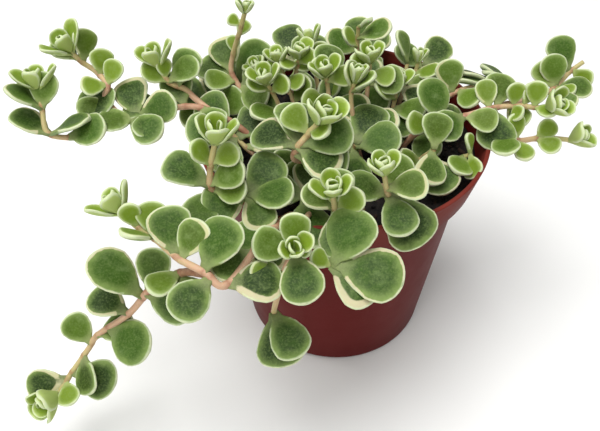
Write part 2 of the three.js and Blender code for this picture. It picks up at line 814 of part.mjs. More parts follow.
// The rosette's heart, where its young leaves are still closed, as one small spindle.
function heartSolid(branch, extra) {
  const curve = routeCurve(branch.route);
  const height = HEART_HEIGHT * branch.tip[0] + extra;
  const width = HEART_WIDTH * branch.tip[0] + extra;
  const spindle = new THREE.OctahedronGeometry(1);
  spindle.scale(width, width, height);
  const upright = new THREE.Vector3(0, 0, 1);
  const axis = tipAxis(branch, curve);
  spindle.applyQuaternion(new THREE.Quaternion().setFromUnitVectors(upright, axis));
  spindle.translate(...curve.getPoint(1).toArray());
  return toSolid(spindle);
}

function branchLeaves(branch, keys) {
  const curve = routeCurve(branch.route);
  return [...stemLeaves(branch, curve, keys), ...tipLeaves(branch, curve, keys)];
}

// A shoot's stems and leaves as two solids, grown by `extra`.
function shootSolids(shoot, shootIndex, extra) {
  const stems = shoot.branches.map((branch) => stemSolid(branch.route, shoot.stem, extra));
  const leaves = shoot.branches.flatMap((branch, branchIndex) => (
    branchLeaves(branch, [shootIndex, branchIndex]).map((leaf) => grownLeafSolid(leaf, extra))
  ));
  const hearts = shoot.branches.filter((branch) => branch.tip)
    .map((branch) => heartSolid(branch, extra));
  return { stems: Manifold.union(stems), leaves: Manifold.union([...leaves, ...hearts]) };
}

// ---- The assembly ---------------------------------------------------------------------------

const potted = new THREE.Group();

function addPiece(name, solid, color, roughness) {
  const material = new THREE.MeshStandardMaterial({ color, roughness, metalness: 0 });
  const mesh = new THREE.Mesh(toGeometry(solid), material);
  mesh.name = name;
  potted.add(mesh);
}

const grownPot = potSolid(GAP);
const grownSoil = soilSolid(GAP);
const grownShoots = [];
const grownStems = [];

SHOOTS.forEach((shoot, i) => {
  const { stems, leaves } = shootSolids(shoot, i, 0);
  const rooted = stems.add(cutClear(leaves, [grownSoil]));
  const rough = largestPiece(cutClear(rooted, [grownPot, ...grownShoots]));
  addPiece(shoot.name, largestPiece(rough.simplify(FINEST_DETAIL)), "#557d42", 0.7);
  const grown = shootSolids(shoot, i, GAP);
  grownShoots.push(grown.stems.add(grown.leaves));
  grownStems.push(grown.stems);
});

addPiece("soil", cutClear(soilSolid(0), grownStems), "#1c1512", 0.95);
addPiece("pot", potSolid(0).subtract(drainHoles()), "#6b2f2c", 0.5);

export default potted;
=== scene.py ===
"""A potted trailing sedum: pot, soil, stems and leaves, in metres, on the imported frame."""

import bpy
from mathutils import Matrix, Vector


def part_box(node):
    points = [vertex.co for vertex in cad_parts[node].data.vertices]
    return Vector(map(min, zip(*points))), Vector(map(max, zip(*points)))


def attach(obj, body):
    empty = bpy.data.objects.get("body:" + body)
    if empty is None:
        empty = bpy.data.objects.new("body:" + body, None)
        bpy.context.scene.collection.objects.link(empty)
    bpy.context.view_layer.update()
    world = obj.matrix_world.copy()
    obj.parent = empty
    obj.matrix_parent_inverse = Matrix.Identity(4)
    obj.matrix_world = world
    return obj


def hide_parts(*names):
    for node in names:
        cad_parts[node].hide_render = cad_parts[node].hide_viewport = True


bl_info = {
    "name": "Potted sedum",
    "version": (1, 0, 0),
    "blender": (4, 5, 0),
    "location": "3D View > Sidebar > Sedum",
    "description": "Builds a trailing variegated sedum in its nursery pot",
    "category": "Object",
}

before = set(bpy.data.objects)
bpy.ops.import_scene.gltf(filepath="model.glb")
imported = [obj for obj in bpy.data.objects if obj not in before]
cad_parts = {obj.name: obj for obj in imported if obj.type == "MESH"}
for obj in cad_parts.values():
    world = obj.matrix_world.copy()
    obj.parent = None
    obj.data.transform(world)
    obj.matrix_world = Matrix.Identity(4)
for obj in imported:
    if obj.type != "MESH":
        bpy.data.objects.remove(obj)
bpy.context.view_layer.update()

import math
import random

import bmesh
import bpy
from bpy.props import FloatProperty, FloatVectorProperty, IntProperty, PointerProperty
from mathutils import Matrix, Vector, noise

# ---- The frame ------------------------------------------------------------------------------

POT_LOW, POT_HIGH = (Vector(corner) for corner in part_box("pot"))
SOIL_LOW, SOIL_HIGH = (Vector(corner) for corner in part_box("soil"))
RIM_RADIUS = (POT_HIGH.x - POT_LOW.x) / 2
POT_HEIGHT = POT_HIGH.z - POT_LOW.z
SOIL_TOP = SOIL_HIGH.z
MM = 0.001

# The routes were laid out on a pot of this size, and follow the frame's own pot.
LAID_OUT_RIM_RADIUS = 0.0495
LAID_OUT_POT_HEIGHT = 0.0885
SPREAD = RIM_RADIUS / LAID_OUT_RIM_RADIUS
RISE = POT_HEIGHT / LAID_OUT_POT_HEIGHT

# Slack between the soil and the inside of the pot.
SOIL_SLACK = 0.4 * MM

# The light that the leaves turn to leans towards the front by this angle.
LIGHT_LEAN = math.radians(28)
LIGHT = Vector((0, -math.sin(LIGHT_LEAN), math.cos(LIGHT_LEAN)))
UPWARD = Vector((0, -0.25, 1)).normalized()  # the way that rosettes turn
ACROSS = Vector((1, 0, 0))
AWAY = Vector((0, math.cos(LIGHT_LEAN), math.sin(LIGHT_LEAN)))

# Angles in degrees: how far leaves rise from lying square to the light, and how a rosette opens.
LEAF_LIFT = 6
YOUNG_LIFT = 30  # the further rise of the youngest
LIFT_SPREAD = 34  # from the flattest leaf to the steepest
SWAY_SPREAD = 44  # from one side to the other, about the leaf's own midrib
TIP_OPENING = 44  # of a rosette's outermost leaves
SLIM_OPENING = 28  # of a slim rosette's
TIP_CLOSING = 34  # how much steeper the innermost leaves are
TIP_UNEVENNESS = 24

# A leaf on a stem is grown at this length, and young by so much less.
GROWN_LENGTH = 0.015
YOUTH_SPAN = 0.009
YOUNGEST = 0.7  # the most that it may count as young

# Shares: of a leaf's length, and of its width or length where it varies from leaf to leaf.
LEAF_WIDTH = 0.82
BUD_WIDTH = 0.7
SLIM_WIDTH = 0.5
WIDTH_SPREAD = 0.16
LENGTH_SPREAD = 0.16
OUTER_LENGTH = 1.1  # of a rosette's outermost leaves
INNER_SHORTENING = 0.6  # from the outermost leaves to the heart
HEART_RISE = 1.5 * MM  # how far up the rosette's axis the innermost leaves start
ROSETTE_SINK = 1 * MM  # how far below the stem's end the outermost ones start

# The blade's outline, in shares of its length and of its greatest width.
NECK_PLACE = 0.08  # where the narrow foot ends
NECK_WIDTH = 0.2
NECK_END = 0.3  # where the blade is wider than its foot
SHOULDER = 0.62  # the smaller, the quicker the blade widens
ROUNDNESS = 2.6  # the larger, the blunter the blade's end
FULL_WIDTH = 0.63  # what the blade's curve comes to at its widest
OUTLINE_STEPS = 40  # points on each side of the outline that insets are measured from
NECK_THICKNESS = 0.72  # of the blade's
NECK_INSET = 0.35  # the foot counts as lying this far in from the outline
EDGE_LINE_WIDTH = 0.9 * MM

# ---- The plant ------------------------------------------------------------------------------
# One entry for each rooted shoot, with its branches:
#   route:  points in metres that the stem passes through
#   leaves: (place on the route, heading, length, twist), where the place counts route points,
#           the heading is in degrees round the light (0 to the right, 90 away from the front),
#           and the twist, where there is one, turns the blade about its own midrib
#   tip:    (leaf length, turn, pairs of leaves) of the rosette at the end, where there is one
#   slim:   the rosette is still closed and narrow

SHOOTS = [
    {
        "name": "shoot_front_left",
        "stem": 0.0012,
        "branches": [
            {
                "route": [
                    (-0.016, -0.033, 0.0765), (-0.019, -0.041, 0.0865), (-0.026, -0.056, 0.0935),
                    (-0.036, -0.071, 0.0915), (-0.042, -0.069, 0.0945), (-0.049, -0.064, 0.0945),
                    (-0.056, -0.058, 0.0965), (-0.061, -0.055, 0.0985), (-0.065, -0.052, 0.1005),
                ],
                "leaves": [
                    (3, 5, 0.015), (3.7, 230, 0.014), (4, 60, 0.016), (4.9, 60, 0.012),
                    (5.1, 100, 0.014), (6, 95, 0.01), (6, 187, 0.01, 55), (6.8, 120, 0.008),
                    (1.6, 210, 0.015), (1.6, 255, 0.014), (2.3, 210, 0.013),
                ],
                "tip": (0.009, 30, 4),
            },
            {
                "route": [
                    (-0.041, -0.069, 0.0935), (-0.048, -0.062, 0.0865), (-0.054, -0.059, 0.0805),
                    (-0.061, -0.057, 0.0725), (-0.069, -0.056, 0.0605), (-0.081, -0.055, 0.0485),
                    (-0.085, -0.056, 0.0425), (-0.091, -0.06, 0.0355), (-0.096, -0.065, 0.0305),
                ],
                "leaves": [
                    (1.3, 215, 0.011), (1.5, -60, 0.014), (3, 78, 0.013), (3.1, -22, 0.016),
                    (3.3, 140, 0.02), (4, 152, 0.014), (4.6, -32, 0.017), (5, 14, 0.013),
                    (5.6, 130, 0.012), (6.3, -78, 0.013, 40), (7, -15, 0.015), (7.3, 190, 0.014),
                    (7.4, -70, 0.009),
                ],
                "tip": (0.011, 20, 4),
            },
        ],
    },
    {
        "name": "shoot_left",
        "stem": 0.0011,
        "branches": [
            {
                "route": [
                    (-0.024, -0.008, 0.0765), (-0.029, -0.006, 0.0865), (-0.04, -0.002, 0.0945),
                    (-0.051, 0.001, 0.0965), (-0.064, -0.002, 0.0955), (-0.074, -0.004, 0.0945),
                    (-0.083, -0.007, 0.0935), (-0.089, -0.009, 0.0925), (-0.095, -0.01, 0.0955),
                    (-0.096, -0.006, 0.1015), (-0.097, -0.002, 0.1065),
                ],
                "leaves": [
                    (2.6, -60, 0.013), (3.1, 110, 0.013), (3.6, 235, 0.013), (3.6, 165, 0.014),
                    (4.3, 105, 0.014), (4.4, 195, 0.012), (4.6, -35, 0.014), (6, 85, 0.012),
                    (6, 80, 0.017), (7, 5, 0.014), (7.8, 22, 0.014, -45), (7.8, 150, 0.014, 35),
                    (9, 153, 0.013, 55), (9, 80, 0.012), (9.2, 118, 0.012), (4.3, 15, 0.014),
                ],
                "tip": (0.009, 0, 4),
            },
            {
                "route": [
                    (-0.072, -0.003, 0.0945), (-0.078, 0.003, 0.0985), (-0.077, 0.005, 0.1025),
                    (-0.081, 0.01, 0.1045), (-0.085, 0.011, 0.1075), (-0.088, 0.011, 0.1115),
                ],
                "leaves": [
                    (2, 60, 0.009), (2.7, 80, 0.009, 30), (2, 200, 0.009), (4, 85, 0.011, 55),
                    (4.3, 150, 0.01),
                ],
                "tip": (0.01, 45, 3),
            },
            {
                "route": [
                    (-0.041, -0.003, 0.0945), (-0.049, 0.004, 0.0975), (-0.052, 0.005, 0.1005),
                    (-0.057, 0.005, 0.1035), (-0.06, 0.007, 0.1085),
                ],
                "leaves": [
                    (2.5, 60, 0.013), (3, 155, 0.01), (3, 28, 0.012), (3.2, 100, 0.007),
                ],
                "tip": (0.009, 0, 3),
            },
        ],
    },
    {
        "name": "shoot_left_rim",
        "stem": 0.0011,
        "branches": [
            {
                "route": [
                    (-0.028, -0.022, 0.0765), (-0.032, -0.029, 0.0865), (-0.038, -0.039, 0.0945),
                    (-0.041, -0.042, 0.0995), (-0.041, -0.041, 0.1045), (-0.04, -0.04, 0.1095),
                    (-0.039, -0.039, 0.1135),
                ],
                "leaves": [
                    (3.2, 150, 0.015), (3.3, 15, 0.012), (2.8, -10, 0.011), (2.4, 235, 0.013),
                    (4.4, 135, 0.009), (4.6, 20, 0.009),
                ],
                "tip": (0.01, 0, 3),
            },
        ],
    },
    {
        "name": "shoot_left_inner",
        "stem": 0.001,
        "branches": [
            {
                "route": [
                    (-0.019, -0.019, 0.0765), (-0.023, -0.028, 0.0865), (-0.031, -0.041, 0.0955),
                ],
                "leaves": [
                    (2, 50, 0.015), (2, -5, 0.014), (2, -65, 0.013), (2, 205, 0.014),
                    (1, 20, 0.012),
                ],
            },
        ],
    },
    {
        "name": "shoot_back_left",
        "stem": 0.001,
        "branches": [
            {
                "route": [
                    (-0.026, 0.004, 0.0765), (-0.029, 0.007, 0.0865), (-0.033, 0.01, 0.0945),
                    (-0.037, 0.014, 0.1005), (-0.036, 0.015, 0.1075), (-0.033, 0.011, 0.1185),
                    (-0.031, 0.008, 0.1265),
                ],
                "leaves": [
                    (2.2, 45, 0.015), (2.6, 190, 0.011), (2.8, 155, 0.013), (3, 105, 0.013),
                    (2.3, -40, 0.012), (4, 90, 0.006), (4.7, 60, 0.006), (5.2, 150, 0.005),
                ],
                "tip": (0.006, 0, 3),
                "slim": True,
            },
        ],
    },
    {
        "name": "shoot_front",
        "stem": 0.001,
        "branches": [
            {
                "route": [
                    (-0.009, -0.029, 0.0765), (-0.012, -0.039, 0.0865), (-0.016, -0.053, 0.0935),
                    (-0.018, -0.062, 0.0945), (-0.018, -0.065, 0.0975),
                ],
                "leaves": [
                    (3.3, 85, 0.011), (3.3, -78, 0.015), (3, 170, 0.012), (3.1, -5, 0.006),
                ],
                "tip": (0.007, 20, 3),
            },
            {
                "route": [
                    (-0.016, -0.055, 0.0935), (-0.021, -0.066, 0.0895), (-0.023, -0.068, 0.0815),
                    (-0.024, -0.066, 0.0725), (-0.023, -0.064, 0.0665),
                ],
                "leaves": [
                    (3, -62, 0.015), (3, -82, 0.016), (1, -170, 0.01),
                ],
            },
        ],
    },
    {
        "name": "shoot_front_right",
        "stem": 0.001,
        "branches": [
            {
                "route": [
                    (0.004, -0.029, 0.0765), (0.003, -0.039, 0.0865), (-0.001, -0.053, 0.0925),
                    (-0.005, -0.06, 0.0925), (-0.008, -0.064, 0.0895),
                ],
                "leaves": [
                    (4, 58, 0.018), (4, -42, 0.015), (3.8, -20, 0.02), (4, 150, 0.007),
                ],
            },
        ],
    },
    {
        "name": "shoot_rim_right",
        "stem": 0.001,
        "branches": [
            {
                "route": [
                    (0.011, -0.019, 0.0765), (0.011, -0.029, 0.0865), (0.01, -0.041, 0.0945),
                    (0.009, -0.043, 0.0985), (0.008, -0.042, 0.1035),
                ],
                "leaves": [
                    (2, -72, 0.014), (2, -56, 0.018), (3, 2, 0.012), (2, 165, 0.013),
                    (1.5, 60, 0.012),
                ],
                "tip": (0.008, 30, 4),
            },
        ],
    },
    {
        "name": "shoot_front_middle",
        "stem": 0.001,
        "branches": [
            {
                "route": [
                    (-0.002, -0.027, 0.0765), (-0.003, -0.037, 0.0865), (-0.006, -0.049, 0.0965),
                    (-0.007, -0.05, 0.1035),
                ],
                "leaves": [
                    (2, 275, 0.015), (1.8, 85, 0.012), (2.1, 20, 0.01), (1.6, 150, 0.012),
                ],
                "tip": (0.008, 0, 4),
            },
        ],
    },
    {
        "name": "shoot_cream",
        "stem": 0.001,
        "branches": [
            {
                "route": [
                    (0.021, -0.012, 0.0765), (0.024, -0.016, 0.0855), (0.027, -0.02, 0.0935),
                ],
                "leaves": [
                    (1.9, -102, 0.013), (1.4, -68, 0.015), (2, 80, 0.012), (1, 200, 0.011),
                ],
            },
        ],
    },
    {
        "name": "shoot_centre",
        "stem": 0.0012,
        "branches": [
            {
                "route": [
                    (-0.008, -0.011, 0.0765), (-0.012, -0.019, 0.0885), (-0.017, -0.03, 0.0995),
                    (-0.016, -0.032, 0.1055), (-0.013, -0.031, 0.1095), (-0.01, -0.031, 0.1135),
                ],
                "leaves": [
                    (3, 90, 0.016), (3, -35, 0.014), (2.6, -18, 0.016), (3.2, 12, 0.016),
                    (3, 150, 0.015), (4, 130, 0.01), (4.2, -30, 0.008), (1, 190, 0.013),
                    (1.2, 20, 0.013),
                ],
                "tip": (0.01, 20, 4),
            },
        ],
    },
    {
        "name": "shoot_back_middle",
        "stem": 0.0009,
        "branches": [
            {
                "route": [
                    (-0.016, -0.001, 0.0765), (-0.018, 0, 0.0865), (-0.022, 0.002, 0.0975),
                    (-0.025, 0.002, 0.1045),
                ],
                "leaves": [
                    (1.4, 250, 0.012), (1.6, 200, 0.012), (2.5, 165, 0.009), (2.5, 10, 0.008),
                ],
                "tip": (0.008, 0, 3),
            },
        ],
    },
    {
        "name": "shoot_back_row",
        "stem": 0.0009,
        "branches": [
            {
                "route": [
                    (-0.013, 0.008, 0.0765), (-0.016, 0.012, 0.0885), (-0.021, 0.018, 0.1015),
                ],
                "leaves": [
                    (1.7, 130, 0.008), (1.6, -30, 0.008), (1, 60, 0.011),
                ],
                "tip": (0.007, 0, 3),
            },
            {
                "route": [
                    (-0.017, 0.014, 0.0915), (-0.015, 0.017, 0.0985), (-0.014, 0.018, 0.1035),
                ],
                "leaves": [
                    (1.5, 20, 0.008), (1.5, 200, 0.007),
                ],
                "tip": (0.007, 40, 3),
            },
            {
                "route": [
                    (-0.017, 0.014, 0.0915), (-0.024, 0.017, 0.0955), (-0.028, 0.017, 0.0995),
                ],
                "leaves": [
                    (1.5, 60, 0.008), (1.5, 200, 0.007),
                ],
                "tip": (0.006, 20, 3),
            },
        ],
    },
    {
        "name": "shoot_bright",
        "stem": 0.0009,
        "branches": [
            {
                "route": [
                    (-0.004, -0.005, 0.0765), (-0.004, -0.001, 0.0885), (-0.005, 0.004, 0.1005),
                    (-0.006, 0.004, 0.1055),
                ],
                "leaves": [
                    (1.6, -20, 0.014), (2.3, 85, 0.013), (2.3, 125, 0.009), (2.4, 10, 0.009),
                    (1.5, 170, 0.01),
                ],
                "tip": (0.008, 20, 3),
            },
        ],
    },
    {
        "name": "shoot_slim",
        "stem": 0.0009,
        "branches": [
            {
                "route": [
                    (-0.004, 0.013, 0.0765), (-0.007, 0.018, 0.0895), (-0.01, 0.024, 0.1035),
                ],
                "leaves": [
                    (1.6, 60, 0.009), (1.6, 200, 0.008), (1.1, -20, 0.01),
                ],
                "tip": (0.008, 0, 3),
                "slim": True,
            },
        ],
    },
    {
        "name": "shoot_narrow",
        "stem": 0.0009,
        "branches": [
            {
                "route": [
                    (0.007, -0.013, 0.0765), (0.004, -0.008, 0.0885), (0.002, -0.003, 0.1015),
                    (0.003, -0.003, 0.1075),
                ],
                "leaves": [
                    (1.3, -22, 0.015), (1.3, -5, 0.015), (2.3, 100, 0.01, 50),
                    (2.3, 15, 0.01, -45), (2.6, 55, 0.008, -40), (1.1, 160, 0.012),
                ],
                "tip": (0.008, 0, 3),
                "slim": True,
            },
        ],
    },
    {
        "name": "shoot_pale",
        "stem": 0.0009,
        "branches": [
            {
                "route": [
                    (0.008, -0.001, 0.0765), (0.008, 0.004, 0.0905), (0.009, 0.009, 0.1025),
                    (0.009, 0.01, 0.1065),
                ],
                "leaves": [
                    (1.7, 0, 0.012), (2, 150, 0.009), (2, -20, 0.009),
                ],
                "tip": (0.008, 30, 3),
            },
        ],
    },
    {
        "name": "shoot_pale_low",
        "stem": 0.0009,
        "branches": [
            {
                "route": [
                    (0.016, 0.001, 0.0765), (0.017, 0.004, 0.0875), (0.019, 0.009, 0.0975),
                ],
                "leaves": [
                    (1.6, 90, 0.012), (1.6, 160, 0.01), (1.1, -100, 0.013), (1.3, -20, 0.012),
                ],
                "tip": (0.007, 10, 3),
            },
        ],
    },
    {
        "name": "shoot_back_rim",
        "stem": 0.0009,
        "branches": [
            {
                "route": [
                    (0.006, 0.019, 0.0765), (0.007, 0.025, 0.0885), (0.007, 0.03, 0.0995),
                    (0.007, 0.03, 0.1075),
                ],
                "leaves": [
                    (2.4, 3, 0.013), (3, 5, 0.006, -60), (2, 150, 0.009), (1.5, -30, 0.01),
                ],
            },
        ],
    },
    {
        "name": "shoot_back_right",
        "stem": 0.0009,
        "branches": [
            {
                "route": [
                    (0.019, 0.011, 0.0765), (0.022, 0.016, 0.0875), (0.024, 0.022, 0.0975),
                ],
                "leaves": [
                    (2, 105, 0.012, 50), (1.5, -20, 0.011), (1.4, 200, 0.011),
                ],
            },
            {
                "route": [
                    (0.022, 0.017, 0.0895), (0.027, 0.022, 0.0935), (0.028, 0.023, 0.0975),
                ],
                "leaves": [
                    (1, -20, 0.01),
                ],
                "tip": (0.006, 0, 3),
                "slim": True,
            },
        ],
    },
    {
        "name": "shoot_right",
        "stem": 0.0011,
        "branches": [
            {
                "route": [
                    (0.018, -0.006, 0.0765), (0.022, -0.006, 0.0865), (0.03, -0.007, 0.0935),
                    (0.039, -0.006, 0.0955), (0.049, -0.002, 0.0955), (0.057, -0.001, 0.0955),
                    (0.063, -0.002, 0.0955), (0.067, -0.004, 0.0965),
                ],
                "leaves": [
                    (2.2, 110, 0.015), (1.8, 183, 0.01), (3, 215, 0.014), (3, -20, 0.011),
                    (4, -88, 0.015), (3.9, 97, 0.01), (4.2, 80, 0.012), (4.9, 88, 0.008),
                    (4.9, -80, 0.007, 50), (5.4, 70, 0.008, 45), (6, 85, 0.009), (6, -40, 0.008),
                ],
                "tip": (0.009, 0, 4),
            },
            {
                "route": [
                    (0.044, -0.004, 0.0955), (0.056, 0.004, 0.0925), (0.067, 0.01, 0.0905),
                    (0.077, 0.018, 0.0885), (0.084, 0.025, 0.0905), (0.089, 0.027, 0.0935),
                ],
                "leaves": [
                    (1, -60, 0.01), (3, 120, 0.011), (3.1, 103, 0.012), (3, -8, 0.013),
                    (3, -35, 0.008), (2.8, -75, 0.013), (4, 112, 0.014), (4.2, -50, 0.009, 50),
                ],
            },
            {
                "route": [
                    (0.042, -0.005, 0.0955), (0.049, -0.008, 0.0925), (0.057, -0.009, 0.0875),
                    (0.065, -0.006, 0.0855), (0.072, -0.005, 0.0845), (0.077, -0.006, 0.0845),
                ],
                "leaves": [
                    (1.5, -105, 0.012), (2, -75, 0.009), (3, -45, 0.009), (3, 40, 0.008),
                    (2, 100, 0.009),
                ],
                "tip": (0.009, 0, 3),
            },
        ],
    },
    {
        "name": "shoot_right_back",
        "stem": 0.001,
        "branches": [
            {
                "route": [
                    (0.026, 0.003, 0.0765), (0.03, 0.006, 0.0865), (0.038, 0.009, 0.0935),
                    (0.05, 0.013, 0.0945), (0.06, 0.014, 0.0935),
                ],
                "leaves": [
                    (2, 100, 0.012), (2.2, -60, 0.011), (3.4, 155, 0.014, 55),
                    (3.2, 175, 0.013, 50), (4, 150, 0.013, 50), (4, 165, 0.012, 60),
                ],
            },
        ],
    },
    {
        "name": "shoot_right_rim",
        "stem": 0.0009,
        "branches": [
            {
                "route": [
                    (0.033, -0.012, 0.0765), (0.036, -0.014, 0.0835), (0.04, -0.017, 0.0885),
                ],
                "leaves": [
                    (2, -85, 0.009, 50), (2, 100, 0.007, 50), (1.6, -120, 0.011),
                ],
            },
        ],
    },
    {
        "name": "shoot_low_left",
        "stem": 0.001,
        "branches": [
            {
                "route": [
                    (-0.023, -0.009, 0.0765), (-0.031, -0.009, 0.085), (-0.038, -0.005, 0.0905),
                ],
                "leaves": [
                    (2, 125, 0.015), (1.9, 178, 0.015), (1.6, 50, 0.015), (1.7, 250, 0.014),
                    (1.2, 5, 0.013),
                ],
            },
        ],
    },
    {
        "name": "shoot_low_back_left",
        "stem": 0.001,
        "branches": [
            {
                "route": [
                    (-0.025, 0.015, 0.0765), (-0.031, 0.018, 0.085), (-0.036, 0.02, 0.0915),
                ],
                "leaves": [
                    (2, 48, 0.018), (1.9, 165, 0.015), (1.5, 105, 0.014), (1.5, -40, 0.014),
                    (1.2, 230, 0.013),
                ],
            },
        ],
    },
    {
        "name": "shoot_low_middle",
        "stem": 0.001,
        "branches": [
            {
                "route": [
                    (0, -0.013, 0.0765), (0.002, -0.014, 0.085), (0.003, -0.015, 0.092),
                ],
                "leaves": [
                    (2, 62, 0.016), (1.9, 5, 0.015), (1.7, -92, 0.015), (1.6, 175, 0.014),
                    (1.2, 120, 0.013),
                ],
            },
        ],
    },
    {
        "name": "shoot_low_front",
        "stem": 0.001,
        "branches": [
            {
                "route": [
                    (-0.012, -0.024, 0.0765), (-0.013, -0.032, 0.085), (-0.014, -0.037, 0.09),
                ],
                "leaves": [
                    (2, -82, 0.017), (1.7, 5, 0.014), (1.6, 165, 0.014), (1.3, 85, 0.013),
                ],
            },
        ],
    },
    {
        "name": "shoot_low_right",
        "stem": 0.001,
        "branches": [
            {
                "route": [
                    (0.026, -0.004, 0.0765), (0.027, -0.002, 0.084), (0.027, 0.001, 0.089),
                ],
                "leaves": [
                    (2, 95, 0.014), (1.8, 5, 0.014), (1.7, 185, 0.014), (1.4, -85, 0.013),
                ],
            },
        ],
    },
    {
        "name": "shoot_low_back",
        "stem": 0.001,
        "branches": [
            {
                "route": [
                    (0.003, 0.007, 0.0765), (0.005, 0.01, 0.085), (0.006, 0.014, 0.091),
                ],
                "leaves": [
                    (1.8, -58, 0.015), (1.9, 175, 0.014), (2, 65, 0.014), (1.5, 0, 0.013),
                    (1.3, 120, 0.013),
                ],
            },
        ],
    },
    {
        "name": "shoot_low_back_rim",
        "stem": 0.001,
        "branches": [
            {
                "route": [
                    (-0.012, 0.026, 0.0765), (-0.014, 0.031, 0.086), (-0.015, 0.036, 0.092),
                ],
                "leaves": [
                    (2, 105, 0.014), (1.9, 20, 0.014), (1.9, 190, 0.014), (1.5, -80, 0.013),
                    (1.5, 60, 0.012),
                ],
            },
        ],
    },
    {
        "name": "shoot_low_back_right",
        "stem": 0.001,
        "branches": [
            {
                "route": [
                    (0.027, 0.023, 0.0765), (0.03, 0.027, 0.085), (0.032, 0.031, 0.09),
                ],
                "leaves": [
                    (2, 48, 0.014), (1.9, 140, 0.013), (1.8, -42, 0.013), (1.5, 230, 0.013),
                ],
            },
        ],
    },
    {
        "name": "shoot_low_back_edge",
        "stem": 0.001,
        "branches": [
            {
                "route": [
                    (0.007, 0.033, 0.0765), (0.008, 0.038, 0.086), (0.009, 0.042, 0.0905),
                ],
                "leaves": [
                    (2, 90, 0.013), (2, 20, 0.013), (1.9, 165, 0.014), (1.5, -50, 0.012),
                ],
            },
        ],
    },
    {
        "name": "shoot_low_left_edge",
        "stem": 0.001,
        "branches": [
            {
                "route": [
                    (-0.036, 0.004, 0.0765), (-0.041, 0.007, 0.086), (-0.045, 0.009, 0.091),
                ],
                "leaves": [
                    (2, 150, 0.014), (1.9, 80, 0.014), (1.8, 215, 0.012), (1.5, 20, 0.012),
                ],
            },
        ],
    },
]

# ---- Sizes and colours that a user would change ---------------------------------------------


def paint(code):
    """A linear colour from a six-digit display colour."""
    parts = [int(code[i:i + 2], 16) / 255 for i in (0, 2, 4)]
    return tuple(c / 12.92 if c <= 0.04045 else ((c + 0.055) / 1.055) ** 2.4 for c in parts)


def length_setting(name, description, default):
    return FloatProperty(
        name=name, description=description, default=default, min=0, precision=5,
        subtype="DISTANCE", unit="LENGTH",
    )


def colour_setting(name, description, code):
    return FloatVectorProperty(
        name=name, description=description, default=paint(code), min=0, max=1,
        size=3, subtype="COLOR",
    )


class PotSettings(bpy.types.PropertyGroup):
    """The pot's section below its rim, and its plastic."""

    collar: length_setting("Collar height", "From the collar's lower edge to the rim", 0.013)
    flare: length_setting("Collar flare", "How much wider the collar is at the rim", 0.0031)
    step: length_setting("Collar step", "How far the collar stands out from the body", 0.0036)
    base_radius: length_setting("Base radius", "The body's radius at its foot", 0.0344)
    wall: length_setting("Wall", "Thickness of the plastic", 0.0015)
    floor: length_setting("Floor", "Thickness of the pot's floor", 0.002)
    foot_round: length_setting("Foot rounding", "Radius round the foot", 0.0025)
    drain_radius: length_setting("Drain hole radius", "Radius of each drain hole", 0.0032)
    drain_circle: length_setting("Drain circle", "Radius of the ring of drain holes", 0.022)
    drain_holes: IntProperty(
        name="Drain holes", description="How many drain holes the floor has", default=6, min=0
    )
    plastic: colour_setting("Plastic", "The moulded plastic", "5c1512")
    # This lighter plastic marks scuffed edges and also painted light: the whole collar is
    # lightened with it, as if lit from above.
    rubbed_and_lit_plastic: colour_setting("Worn plastic", "The plastic where it is rubbed", "7a362c")
    streak: colour_setting("Streaks", "Faint upright scuffs", "a5776c")
    speck: colour_setting("Specks", "Dark marks in the plastic", "2a0d0d")


class SoilSettings(bpy.types.PropertyGroup):
    """The soil's surface."""

    crumb: length_setting("Crumb size", "Size of a middling crumb", 0.0016)
    crumbs: IntProperty(name="Crumbs", description="Loose crumbs on top", default=900, min=0)
    damp: colour_setting("Damp soil", "The darkest soil", "0f0b09")
    dry: colour_setting("Drier soil", "The crumbs' dry tops", "2b201a")
    bark: colour_setting("Bark", "Bits of bark in the soil", "4a3020")


class PlantSettings(bpy.types.PropertyGroup):
    """Leaves and stems."""

    widest: length_setting("Widest leaf", "No blade is wider than this", 0.0145)
    thickness: length_setting("Leaf thickness", "Of a full-grown leaf", 0.0022)
    bud_thickness: length_setting("Young leaf thickness", "In the rosettes", 0.0013)
    old_green: colour_setting("Old leaf", "The middle of an old leaf", "20350b")
    mid_green: colour_setting("Grown leaf", "The middle of a grown leaf", "3c5a16")
    soft_green: colour_setting("Leaf towards its edge", "Greyer green near the edge", "7c924e")
    lime: colour_setting("Young leaf", "The middle of a young leaf", "7a9426")
    pale_lime: colour_setting("Young leaf's edge", "Yellow-green near a young edge", "b4c473")
    cream: colour_setting("Margin", "The cream margin of an old leaf", "c9c09c")
    # Painted sheen: a paler green laid in broad patches on the leaves' tops, standing in for light
    # caught by the fine hairs and the curve of each blade.
    painted_sheen: colour_setting("Hairy bloom", "Where fine hairs catch the light", "94a56f")
    under: colour_setting("Underside", "The paler back of a leaf", "7f9665")
    edge_line: colour_setting("Edge line", "The thin pale line round every leaf", "ccd6b0")
    foot: colour_setting("Leaf's foot", "Paler where a leaf meets its stem", "b4ba84")
    young_stem: colour_setting("Young stem", "Near the tips", "b9ad74")
    stem: colour_setting("Stem", "Along most of the stem", "c59f80")
    old_stem: colour_setting("Old stem", "Woody and red-brown, and at the rings", "8a5238")
    fibre: colour_setting("Stem fibres", "Pale fine hairs along the stem", "d9c6a4")


